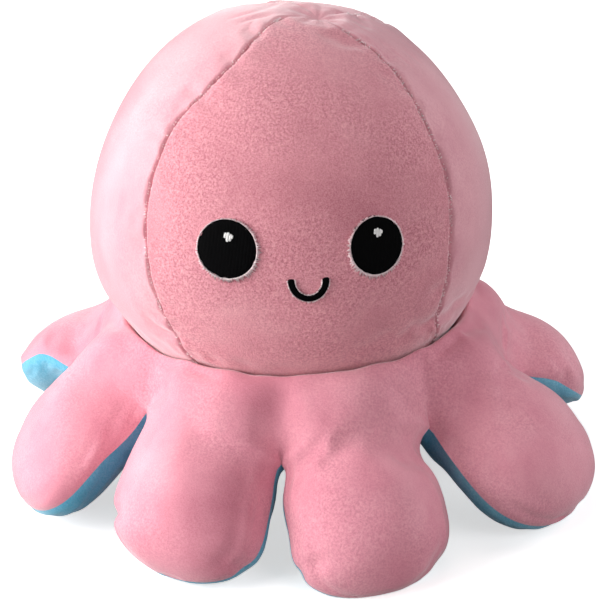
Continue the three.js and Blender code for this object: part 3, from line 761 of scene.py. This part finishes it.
def armSections(index, name, side, rows, columns):
    # the arm beyond the slits, as rows of points from seam to seam, over the top or under the bottom
    own = {**arm, **arms[name]}
    down, proud, across = armWays(own)
    root0, root1 = ringPoint(*slits[index]), ringPoint(*slits[(index + 1) % 8])
    middle, chord = (root0 + root1) / 2, (root1 - root0) / 2
    share = limbShare(rows)[:, None]
    offRoot = 1 - np.exp(-share / own["rootFade"])
    turn = np.radians(own["roll"]) * ease(share / own["rollEnd"])
    acrossHere = across * np.cos(turn) + proud * np.sin(turn)
    proudHere = proud * np.cos(turn) - across * np.sin(turn)
    widening = np.sin(np.minimum(1, share / own["widest"]) * np.pi / 2)
    half = np.linalg.norm(chord) + (own["half"] - np.linalg.norm(chord)) * widening
    half = half - own["notch"] * offRoot * (1 - ease(share / own["notchEnd"]))
    centre = middle + down * own["length"] * share - proud * own["bow"] * 4 * share * (1 - share)
    centre = centre + across * own["lean"] * share**2
    for place, depth, reach in own["dents"]:
        # a dent in one side's seam: a place below zero is on the left side
        dent = depth * np.exp(-(((share - abs(place)) / reach) ** 2)) * offRoot
        half, centre = half - dent / 2, centre + across * dent / 2 * (1 if place < 0 else -1)
    turned = ease(share / own["turnEnd"])
    wide = (unit(chord) * (1 - turned) + acrossHere * turned) * half
    wide = wide * rounding(share, own["widest"], own["sidePower"])
    if side > 0:
        height = own["rootTop"] + (own["top"] - own["rootTop"]) * ease(share / own["crown"])
        height = height * rounding(share, own["crown"], own["roundPower"])
    else:
        height = own["under"] * rounding(share, own["underFull"], own["roundPower"])
    places = limbCrossing(rows, columns)[..., None]
    power = 1 + (side > 0) * own["soften"] * (1 - ease(share / own["softenEnd"]))
    level = np.maximum(0, 1 - places**2) ** (power[:, None] / 2)
    return centre[:, None] + wide[:, None] * places + (side * height * proudHere)[:, None] * level, proud


def neckShape(index, azimuths, ends, run):
    # the cover from the neck to the slits: it hugs the head in fine gathers and dips above each slit
    hug = run / skirt["hugRun"] * np.exp(1 - run / skirt["hugRun"])
    swollen = (np.sin(np.pi * run**0.62) ** 0.9)[..., None]
    shape = ringPoint(azimuths, skirt["valleyOut"], skirt["valleyUp"]) * swollen
    shape = shape + ringPoint(azimuths, skirt["hugOut"], skirt["hugUp"]) * hug[..., None]
    gathers = swell(ringPoint(azimuths, skirt["gatherRadius"], 0), skirt["gatherSize"], skirt["gatherSeed"])
    shape[..., 2] += skirt["gatherDepth"] * gathers * hug
    fade = ease(run / valleys["start"]) * (1 - ease((run - valleys["end"]) / (1 - valleys["end"])))
    for slit, azimuth in zip((index, (index + 1) % 8), ends):
        dip = valleys["depths"][slit] * np.exp(-(((azimuths - azimuth) / valleys["width"]) ** 2))
        shape[..., 2] -= dip * fade
    return shape


def skirtGrid(index, name, side, neckRows, armRows, columns, detail):
    # an arm's cover with its share of the skirt, from the neck, or from the throat underneath, to the tip
    limb, proud = armSections(index, name, side, armRows, columns)
    first, last = slits[index][0], slits[(index + 1) % 8][0]
    last = last + 360 if last < first else last
    ring = {1: ("neckRadius", "neckHeight"), -1: ("throatRadius", "throatHeight")}[side]
    run = np.linspace(0, 1, neckRows)[:-1, None]
    across = crossing(0.5 * run**2, columns)
    azimuths = first + (last - first) * (across + 1) / 2
    start = ringPoint(azimuths, skirt[ring[0]], skirt[ring[1]])
    root = limb[0]
    end = root[0] + (root[-1] - root[0]) * ((across + 1) / 2)[..., None]
    level = 1 - across**2
    height = np.linalg.norm(root[columns // 2] - (root[0] + root[-1]) / 2)
    grid = start * (1 - run)[..., None] + end * run[..., None]
    if side > 0:
        flat, flatAfter = valleys["flatness"][index], valleys["flatness"][(index + 1) % 8]
        flat = flat + (flatAfter - flat) * ease((across + 1) / 2)
        soften = arms[name].get("soften", arm["soften"])
        rise, sharp = run**1.15, flat + (0.5 + soften / 2 - flat) * run**3
        grid = grid + neckShape(index, azimuths, (first, last), run)
        grid[..., 2] += skirt["puff"] * 4 * run * (1 - run) * level**sharp
    else:
        rise, sharp = run, 1 - 0.5 * run**1.4
        grid[..., 2] -= skirt["underPuff"] * 4 * run * (1 - run) * level**0.9
    grid = grid + side * proud * (height * rise * level**sharp)[..., None]
    grid = np.concatenate([grid, limb])
    across = np.concatenate([across, limbCrossing(armRows, columns)])
    # the uneven filling fades towards the seams, the neck and the tip
    inner = np.minimum(1, 3 * (1 - across**2) ** 0.5)
    inner[: neckRows - 1] *= ease(run * 4)
    inner[neckRows - 1 :] *= ease(np.linspace(7, 0, armRows)[:, None])
    normals = gridNormals(grid) * side
    swollen = swell(grid, skirt["swellSize"], skirt["swellSeed"] + index)
    grid = grid + normals * (skirt["swellDepth"] * swollen * inner)[..., None]
    if detail:
        edge = np.minimum(across + 1, 1 - across) * skirt["pinchScale"]
        places = np.stack([grid @ proud, np.linalg.norm(grid, axis=-1), edge * 0.3], -1)
        pinch = swell(places, skirt["pinchSize"], skirt["pinchSeed"] + index)
        pinch = pinch * np.exp(-((edge / skirt["pinchReach"]) ** 2))
        pinch = pinch * np.minimum(1, edge / skirt["pinchEdge"])
        pinch[: neckRows - 1] *= ease((run - skirt["pinchFrom"]) / (skirt["pinchFull"] - skirt["pinchFrom"]))
        grid = grid + normals * (skirt["pinchDepth"] * pinch * inner)[..., None]
    return grid if side > 0 else grid[:, ::-1]


def skirtMovement():
    neckRows, armRows, columns = skirt["clothNeckRows"], skirt["clothArmRows"], skirt["clothColumns"]
    grids, held = [], []
    for index, name in enumerate(arms):
        for side in (1, -1):
            grid = onFloor(skirtGrid(index, name, side, neckRows, armRows, columns, 0))
            hold = np.zeros(grid.shape[:2])
            toSlit = np.arange(len(hold)) / (neckRows - 1)
            sewn = ease((toSlit - skirt["heldFrom"]) / (1 - skirt["heldFrom"]))
            hold[:, 0] = hold[:, -1] = skirt["seamHold"] * sewn
            hold[-1] = skirt["seamHold"]
            hold[0] = 1
            hold = np.maximum(hold, ease((skirt["floorReach"] - grid[..., 2]) / skirt["floorReach"]))
            grids.append(grid)
            held.append(hold)
    moved = settleCloth("skirt cloth", grids, held, skirt)
    # each panel is passed on with a column of its neighbours on either side, so that they meet smoothly
    wide = []
    for place, own in enumerate(moved):
        before, after = moved[(place - 2) % 16], moved[(place + 2) % 16]
        before, after = (before, after) if place % 2 == 0 else (after, before)
        first, last = 2 * own[:, :1] - own[:, 1:2], 2 * own[:, -1:] - own[:, -2:-1]
        first[:neckRows], last[:neckRows] = before[:neckRows, -2:-1], after[:neckRows, 1:2]
        wide.append(np.concatenate([first, own, last], axis=1))
    return wide


def softenBorders(grids):
    # rounds the creases where covers meet near the neck, and leaves them sharp at the slits
    columns, reach, until = skirt["columns"], skirt["softReach"], skirt["neckRows"] - 1
    ring = np.concatenate([grid[:until, :-1] for grid in grids], axis=1)
    size = np.arange(-2 * reach, 2 * reach + 1)
    weights = np.exp(-((size / reach) ** 2))
    soft = sum(weight * np.roll(ring, step, axis=1) for step, weight in zip(size, weights / weights.sum()))
    gap = np.minimum(np.arange(columns - 1), columns - 1 - np.arange(columns - 1))
    fade = 1 - ease((np.arange(until)[:, None] / until - skirt["softEnd"]) / (1 - skirt["softEnd"]))
    share = np.exp(-((gap / (1.5 * reach)) ** 2))[None, :] * fade
    ring = ring + (soft - ring) * np.tile(share, (1, 8))[..., None]
    for index, grid in enumerate(grids):
        first = index * (columns - 1)
        grid[:until] = np.take(ring, np.arange(first, first + columns), axis=1, mode="wrap")
    return grids


def shareNormals(grids):
    # the covers meet without a seam near the neck, so the two sides of each border take the same normal
    normals = [gridNormals(grid) for grid in grids]
    until = skirt["neckRows"] - 2
    for index in range(8):
        here, there = normals[index][:until, -1], normals[(index + 1) % 8][:until, 0]
        both = unit(here + there)
        normals[index][:until, -1] = both
        normals[(index + 1) % 8][:until, 0] = both
    return normals


def setNormals(piece, grid, normals):
    # the outer face takes these normals
    tree = KDTree(grid[..., 0].size)
    for place, point in enumerate(grid.reshape(-1, 3) / 1000):
        tree.insert(point, place)
    tree.balance()
    flat = normals.reshape(-1, 3)
    chosen = []
    for vertex in piece.data.vertices:
        _, place, gap = tree.find(vertex.co)
        chosen.append(flat[place] if gap < 4e-6 else (0, 0, 0))
    piece.data.normals_split_custom_set_from_vertices([tuple(normal) for normal in chosen])


def finalGrid(index, name, side, settled):
    grid = skirtGrid(index, name, side, skirt["neckRows"], skirt["armRows"], skirt["columns"], 1)
    if settled:
        neck = np.linspace(0, skirt["clothNeckRows"] - 1, skirt["neckRows"])[:-1]
        limb = skirt["clothNeckRows"] - 1 + np.linspace(0, skirt["clothArmRows"] - 1, skirt["armRows"])
        columns = np.linspace(1, skirt["clothColumns"], skirt["columns"])
        grid = grid + spread(settled[2 * index + (side < 0)], np.concatenate([neck, limb]), columns)
    return grid


settled = skirtMovement()
armShells = [  # side, word, the model's nodes, slot and velvet
    (1, "cover", ["arm_top", "arm_filling"], "pink_velvet", "arm"),
    (-1, "lining", ["arm_underside"], "blue_velvet", "blue"),
]
for side, word, nodes, slot, finish in armShells:
    grids = [finalGrid(index, name, side, settled) for index, name in enumerate(arms)]
    if side > 0:
        grids = softenBorders(grids)
    normals = shareNormals(grids) if side > 0 else [None] * 8
    for index, name in enumerate(arms):
        piece = clothPiece(f"{name}_{word}", grids[index], skirt["thickness"], velvets[finish])
        if side > 0:
            setNormals(piece, onFloor(grids[index]), normals[index])
        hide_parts(*[f"{name}_{node}" for node in nodes])
        # the model's arms stand 45 degrees apart, the first one 16 degrees to the right of the front
        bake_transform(piece)
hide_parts("skirt_top", "skirt_filling")
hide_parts("skirt_underside")
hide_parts("head_filling")
print("arms and skirt sewn")

# Face: satin stitch, black with a few white strands

# the pale ends of pile round each eye are a painted highlight, longest on the side given by pile
eyes = {  # glint: its place from the eye's middle, in mm; pile: the way in which the ends of pile are longest
    "left": {
        "azimuth": -18.0, "rise": 9.4, "width": 9.15, "height": 9.15,
        "glint": (0.6, 3.7), "pile": (0.8, -0.9), "seed": 5,
    },
    "right": {
        "azimuth": 22.8, "rise": 8.0, "width": 8.6, "height": 9.0,
        "glint": (0.4, 3.9), "pile": (-0.6, -0.7), "seed": 6,
    },
}
glintStrands = [  # across and up from the glint's place: from, to, and how wide, in mm
    (-1.0, -0.2, -0.7, 1.5, 0.8), (-0.3, -1.3, 0.1, 1.7, 0.85),
    (0.5, -1.1, 0.9, 1.2, 0.8), (1.1, -0.3, 1.3, 0.8, 0.6),
]
mouth = {
    "azimuth": 3.5, "rise": 1.1, "half": 5.2, "depth": 6.0, "stroke": 2.15,
    "steps": 241, "across": 13, "ribs": 46, "overlap": 0.02, "endShare": 0.028, "behind": 0.4,
}
patch = {
    "height": 0.85, "behind": 0.5, "rings": 14, "spokes": 90,
    "rimDrop": 0.55, "ragged": 0.026, "raggedSize": 3.2,
}
strand = {"steps": 13, "sides": 12, "height": 0.97, "swelling": 0.3}

bpy.context.view_layer.update()
faceCloth = BVHTree.FromObject(headPieces["face_panel"], bpy.context.evaluated_depsgraph_get())


def headPlace(azimuth, rise):
    # places a flat drawing, across and up in mm, on the face's cloth round a middle
    out, right = direction(azimuth, rise), direction(azimuth + 90, 0)
    up = np.cross(out, right)
    centre = Vector(head["centre"] / 1000)

    def place(x, y, proudness):
        x, y, proudness = np.broadcast_arrays(x, y, proudness)
        ways = unit(out * head["radius"] + right * x[..., None] + up * y[..., None]).reshape(-1, 3)
        reach = []
        for way in map(Vector, ways):
            spot = faceCloth.ray_cast(centre + way * 0.09, -way)[0]
            reach.append((spot - centre).length * 1000)
        spots = head["centre"] + ways * (np.array(reach) + proudness.reshape(-1))[:, None]
        return spots.reshape(*x.shape, 3)

    return place


def pocketPlace(middle):
    # the same on the pocket's back wall
    def place(x, y, proudness):
        x, y, proudness = np.broadcast_arrays(x, y, proudness)
        share = pocket["faceShare"] + y / pocket["height"]
        radius = pocketReach(share) - proudness - pocket["facePlace"]
        height = head["lipHeight"] + pocket["height"] * share
        turn = np.pi + (middle + x) / pocket["radius"]
        return np.stack([radius * np.sin(turn), -radius * np.cos(turn), height], -1)

    return place


def discPiece(name, place, halfWidth, halfHeight, seed):
    # a domed patch with a slightly ragged edge, closed behind
    rings, spokes = patch["rings"], patch["spokes"]
    ring = np.linspace(0, 1, rings)[:, None]
    angle = np.linspace(0, 2 * np.pi, spokes, endpoint=False)[None, :]
    rim = np.stack([20 * np.cos(angle), 20 * np.sin(angle), 0 * angle], -1)
    ragged = 1 + patch["ragged"] * swell(rim, patch["raggedSize"], seed)
    x, y = halfWidth * ring * np.cos(angle) * ragged, halfHeight * ring * np.sin(angle) * ragged
    outer = place(x, y, patch["height"] * (1 - patch["rimDrop"] * ring**6) + 0 * angle)
    inner = place(x, y, 0 * ring * angle - patch["behind"])
    points = np.concatenate([outer.reshape(-1, 3), inner.reshape(-1, 3)])
    at = np.arange(rings * spokes).reshape(rings, spokes)
    at = np.concatenate([at, at[:, :1]], 1)
    behind = at + rings * spokes
    edge = np.stack([at[-1, :-1], behind[-1, :-1], behind[-1, 1:], at[-1, 1:]], -1)
    return newPiece(name, points, np.concatenate([quads(at), quads(behind)[:, ::-1], edge]), threads["black"])


def strandPiece(name, place, strands):
    # short white strands side by side, each with round ends
    points, faces = [], []
    steps, sides = strand["steps"], strand["sides"]
    t = np.linspace(0, 1, steps)[:, None]
    angle = np.linspace(0, 2 * np.pi, sides, endpoint=False)[None, :]
    rounded = np.sqrt(np.clip(1 - (2 * t - 1) ** 6, 0, 1)) + 1e-3
    for x0, y0, x1, y1, width in strands:
        way = np.array([x1 - x0, y1 - y0]) / math.hypot(x1 - x0, y1 - y0)
        x = x0 + (x1 - x0) * t - way[1] * width / 2 * rounded * np.cos(angle)
        y = y0 + (y1 - y0) * t + way[0] * width / 2 * rounded * np.cos(angle)
        at = np.arange(steps * sides).reshape(steps, sides) + len(points) * steps * sides
        at = np.concatenate([at, at[:, :1]], 1)
        proudness = strand["height"] + strand["swelling"] * rounded * np.sin(angle)
        points.append(place(x, y, proudness).reshape(-1, 3))
        faces += quads(at)[:, [0, 3, 2, 1]].tolist()
        faces += [at[0, :-1].tolist(), at[-1, -2::-1].tolist()]
    return newPiece(name, np.concatenate(points), faces, threads["white"])


def curvePiece(name, place, bend):
    # satin stitches laid across the mouth's curve, each one a rib; a bend below zero turns the smile over
    steps, columns = mouth["steps"], mouth["across"]
    along = np.linspace(0, 1, steps)[:, None]
    across = np.linspace(-1, 1, columns)[None, :]
    rib = np.abs(np.sin(along * np.pi * mouth["ribs"]))
    angle = np.pi * (along * (1 + 2 * mouth["overlap"]) - mouth["overlap"])
    end = np.clip(np.minimum(along, 1 - along) / mouth["endShare"], 0, 1)
    wide = mouth["stroke"] / 2 * (0.93 + 0.09 * rib) * np.sqrt(1 - (1 - end) ** 2 + 1e-4)
    x = -(mouth["half"] + wide * across) * np.cos(angle)
    y = -bend * (mouth["depth"] + wide * across) * np.sin(angle)
    dome = np.sqrt(np.clip(1 - (across * 0.97) ** 4, 0, 1))
    outer = place(x, y, patch["height"] * dome * (0.82 + 0.18 * rib))
    inner = place(x, y, 0 * x - mouth["behind"])
    if bend < 0:
        outer, inner = outer[:, ::-1], inner[:, ::-1]
    points = np.concatenate([outer.reshape(-1, 3), inner.reshape(-1, 3)])
    front, back = gridFaces(steps, columns), gridFaces(steps, columns, steps * columns, True)
    faces = np.concatenate([front, back, rimFaces(steps, columns, steps * columns)])
    return newPiece(name, points, faces, threads["black"])


stitchPile = {
    "foot": 0.2, "footHeight": 0.1, "width": 0.26, "ridge": 0.1, "lean": 0.5, "lit": 0.6,
    "eyeCount": 240, "eyeLength": 1.05, "mouthCount": 52, "mouthLength": 0.5,
}


def stitchTufts(name, place, path, count, length, light, seed):
    # short ends of pile that stand out round the stitching, painted pale as a highlight, longer on the side
    # towards the light
    draw = np.random.default_rng(seed)
    share = (np.arange(count) + draw.uniform(-0.4, 0.4, count)) / count
    x, y, outX, outY = path(share)
    wide = stitchPile["width"] * draw.uniform(0.6, 1.4, count)
    long = length * draw.uniform(0.35, 1.25, count)
    long = long * (1 + stitchPile["lit"] * (outX * light[0] + outY * light[1]))
    lean = draw.uniform(-stitchPile["lean"], stitchPile["lean"], count)
    footX, footY = x - outX * stitchPile["foot"], y - outY * stitchPile["foot"]
    low = np.full(count, stitchPile["footHeight"])
    high, tip = draw.uniform(0.75, 1.15, count), draw.uniform(0.25, 0.7, count)
    tuftsPiece(name, [
        place(footX - outY * wide, footY + outX * wide, low),
        place(footX + outY * wide, footY - outX * wide, low),
        place(x + outX * stitchPile["ridge"], y + outY * stitchPile["ridge"], high),
        place(x + long * (outX - outY * lean), y + long * (outY + outX * lean), tip),
    ])


def ovalPath(halfWidth, halfHeight):
    def path(share):
        angle = 2 * np.pi * share
        return halfWidth * np.cos(angle), halfHeight * np.sin(angle), np.cos(angle), np.sin(angle)

    return path


def mouthPath(side):
    def path(share):
        angle = np.pi * share
        reach = side * mouth["stroke"] / 2
        x, y = -(mouth["half"] + reach) * np.cos(angle), -(mouth["depth"] + reach) * np.sin(angle)
        return x, y, -side * np.cos(angle), -side * np.sin(angle)

    return path


def frownPlace(x, y, proudness):
    # the sad mouth lies below the eyes of the pocket
    return pocketPlace(0)(x, y - pocket["eyeSize"] - mouth["depth"], proudness)


def faceOn(piece, node):
    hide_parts(node)
    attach(piece, "head")


for side, eye in eyes.items():
    place = headPlace(eye["azimuth"], eye["rise"])
    disc = discPiece(f"{side}_eye_patch", place, eye["width"], eye["height"], eye["seed"])
    faceOn(disc, f"{side}_eye")
    x, y = eye["glint"]
    strands = [(x + x0, y + y0, x + x1, y + y1, width) for x0, y0, x1, y1, width in glintStrands]
    faceOn(strandPiece(f"{side}_eye_strands", place, strands), f"{side}_eye_glint")
for side, eye in eyes.items():
    place, path = headPlace(eye["azimuth"], eye["rise"]), ovalPath(eye["width"], eye["height"])
    count, length = stitchPile["eyeCount"], stitchPile["eyeLength"]
    stitchTufts(f"{side}_eye_tufts", place, path, count, length, eye["pile"], eye["seed"])
mouthPlace = headPlace(mouth["azimuth"], mouth["rise"])
for side, word in ((1, "outer"), (-1, "inner")):
    count, length = stitchPile["mouthCount"], stitchPile["mouthLength"]
    stitchTufts(f"mouth_{word}_tufts", mouthPlace, mouthPath(side), count, length, (0, 0), 30 + side)
for side, word in ((-1, "left"), (1, "right")):
    place, size = pocketPlace(side * pocket["eyeSpread"]), pocket["eyeSize"]
    disc = discPiece(f"pocket_{word}_eye_patch", place, size, size, pocket["eyeSeed"])
    faceOn(disc, f"pocket_{word}_eye")
faceOn(curvePiece("frown_stitches", frownPlace, -1), "pocket_mouth")
faceOn(curvePiece("smile_stitches", mouthPlace, 1), "mouth")
print("face stitched")

# Camera, light and floor

camera = {  # degrees and metres, the lens and the sensor in millimetres
    "elevation": 24.5, "roll": 2.2, "distance": 0.7447, "target": (0.0012, 0, 0.057),
    "lens": 135.96, "sensor": 36,
}


def addCamera():
    tilt, roll = math.radians(camera["elevation"]), math.radians(camera["roll"])
    ahead = Vector((0, math.cos(tilt), -math.sin(tilt)))
    right, up = Vector((1, 0, 0)), Vector((0, math.sin(tilt), math.cos(tilt)))
    turnedRight = right * math.cos(roll) - up * math.sin(roll)
    turnedUp = right * math.sin(roll) + up * math.cos(roll)
    lens = bpy.data.cameras.new("camera")
    lens.lens, lens.sensor_width = camera["lens"], camera["sensor"]
    viewer = bpy.data.objects.new("camera", lens)
    place = Vector(camera["target"]) - ahead * camera["distance"]
    axes = Matrix((turnedRight, turnedUp, -ahead)).transposed().to_4x4()
    viewer.matrix_world = Matrix.Translation(place) @ axes
    bpy.context.scene.collection.objects.link(viewer)
    bpy.context.scene.camera = viewer


studio = {  # metres
    "aim": (0, 0, 0.07), "room": (1, 0.99, 0.985), "roomLight": 0.02, "backdrop": (1, 1, 1),
    "floor": (0.85, 0.85, 0.85), "floorRoughness": 0.9, "floorThrown": (0.45, 0.44, 0.44),
    "floorDrop": 0.0004,
    "glowNear": 0.3, "glowFar": 1.1, "nearGlow": 0.62, "farGlow": 1,
}
lamps = {  # metres and watts
    "low": {"place": (-0.65, -0.1, 0.15), "size": 0.8, "watts": 12.3, "color": (1, 0.99, 0.98)},
    "key": {"place": (-1.0, -0.42, 0.55), "size": 0.7, "watts": 4.2, "color": (1, 0.99, 0.98)},
    "left": {"place": (-0.9, 0.55, 0.5), "size": 0.6, "watts": 3, "color": (1, 0.99, 0.98)},
    "fill": {"place": (0.9, -0.8, 0.7), "size": 0.8, "watts": 7.2, "color": (0.99, 0.98, 1)},
    "right": {"place": (1.0, 0.5, 0.4), "size": 0.6, "watts": 5.5, "color": (0.99, 0.98, 1)},
    "top": {"place": (-0.1, 0.3, 1.1), "size": 0.7, "watts": 3.2, "color": (1, 1, 1)},
}


def addLamps():
    for name, lamp in lamps.items():
        light = bpy.data.lights.new(name, "AREA")
        light.energy, light.size, light.color = lamp["watts"], lamp["size"], lamp["color"]
        holder = bpy.data.objects.new(name, light)
        holder.location = lamp["place"]
        ahead = Vector(studio["aim"]) - holder.location
        holder.rotation_euler = ahead.to_track_quat("-Z", "Y").to_euler()
        bpy.context.scene.collection.objects.link(holder)
    world = bpy.data.worlds.new("studio")
    world.use_nodes = True
    bpy.context.scene.world = world
    nodes, links = world.node_tree.nodes, world.node_tree.links
    room = nodes["Background"]
    room.inputs["Color"].default_value = (*studio["room"], 1)
    room.inputs["Strength"].default_value = studio["roomLight"]
    seen = nodes.new("ShaderNodeBackground")
    seen.inputs["Color"].default_value = (*studio["backdrop"], 1)
    path = nodes.new("ShaderNodeLightPath")
    mix = nodes.new("ShaderNodeMixShader")
    links.new(path.outputs["Is Camera Ray"], mix.inputs["Fac"])
    links.new(room.outputs["Background"], mix.inputs[1])
    links.new(seen.outputs["Background"], mix.inputs[2])
    links.new(mix.outputs["Shader"], nodes["World Output"].inputs["Surface"])


def addFloor():
    # the camera sees it matt, with a glow that grows into the backdrop
    # the light that it throws back at the toy comes from a duller surface
    finish = bpy.data.materials.new("floor")
    finish.use_nodes = True
    nodes, links = finish.node_tree.nodes, finish.node_tree.links
    matt = nodes["Principled BSDF"]
    matt.inputs["Base Color"].default_value = (*studio["floor"], 1)
    matt.inputs["Roughness"].default_value = studio["floorRoughness"]
    glow = nodes.new("ShaderNodeEmission")
    far = nodes.new("ShaderNodeVectorMath")
    far.operation = "LENGTH"
    links.new(nodes.new("ShaderNodeTexCoord").outputs["Object"], far.inputs[0])
    strength = nodes.new("ShaderNodeMapRange")
    strength.inputs["From Min"].default_value = studio["glowNear"]
    strength.inputs["From Max"].default_value = studio["glowFar"]
    strength.inputs["To Min"].default_value = studio["nearGlow"]
    strength.inputs["To Max"].default_value = studio["farGlow"]
    links.new(far.outputs["Value"], strength.inputs["Value"])
    links.new(strength.outputs["Result"], glow.inputs["Strength"])
    both = nodes.new("ShaderNodeAddShader")
    path = nodes.new("ShaderNodeLightPath")
    mix = nodes.new("ShaderNodeMixShader")
    links.new(matt.outputs["BSDF"], both.inputs[0])
    links.new(glow.outputs["Emission"], both.inputs[1])
    links.new(path.outputs["Is Camera Ray"], mix.inputs["Fac"])
    dull = nodes.new("ShaderNodeBsdfDiffuse")
    dull.inputs["Color"].default_value = (*studio["floorThrown"], 1)
    links.new(dull.outputs["BSDF"], mix.inputs[1])
    links.new(both.outputs["Shader"], mix.inputs[2])
    links.new(mix.outputs["Shader"], nodes["Material Output"].inputs["Surface"])
    mesh = bpy.data.meshes.new("floor")
    mesh.from_pydata([(-4, -4, 0), (4, -4, 0), (4, 4, 0), (-4, 4, 0)], [], [(0, 1, 2, 3)])
    mesh.materials.append(finish)
    floor = bpy.data.objects.new("floor", mesh)
    floor.location.z = -studio["floorDrop"]
    bpy.context.scene.collection.objects.link(floor)


addCamera()
addLamps()
addFloor()
bpy.context.scene.view_settings.view_transform = "Standard"
print("camera, light and floor placed")
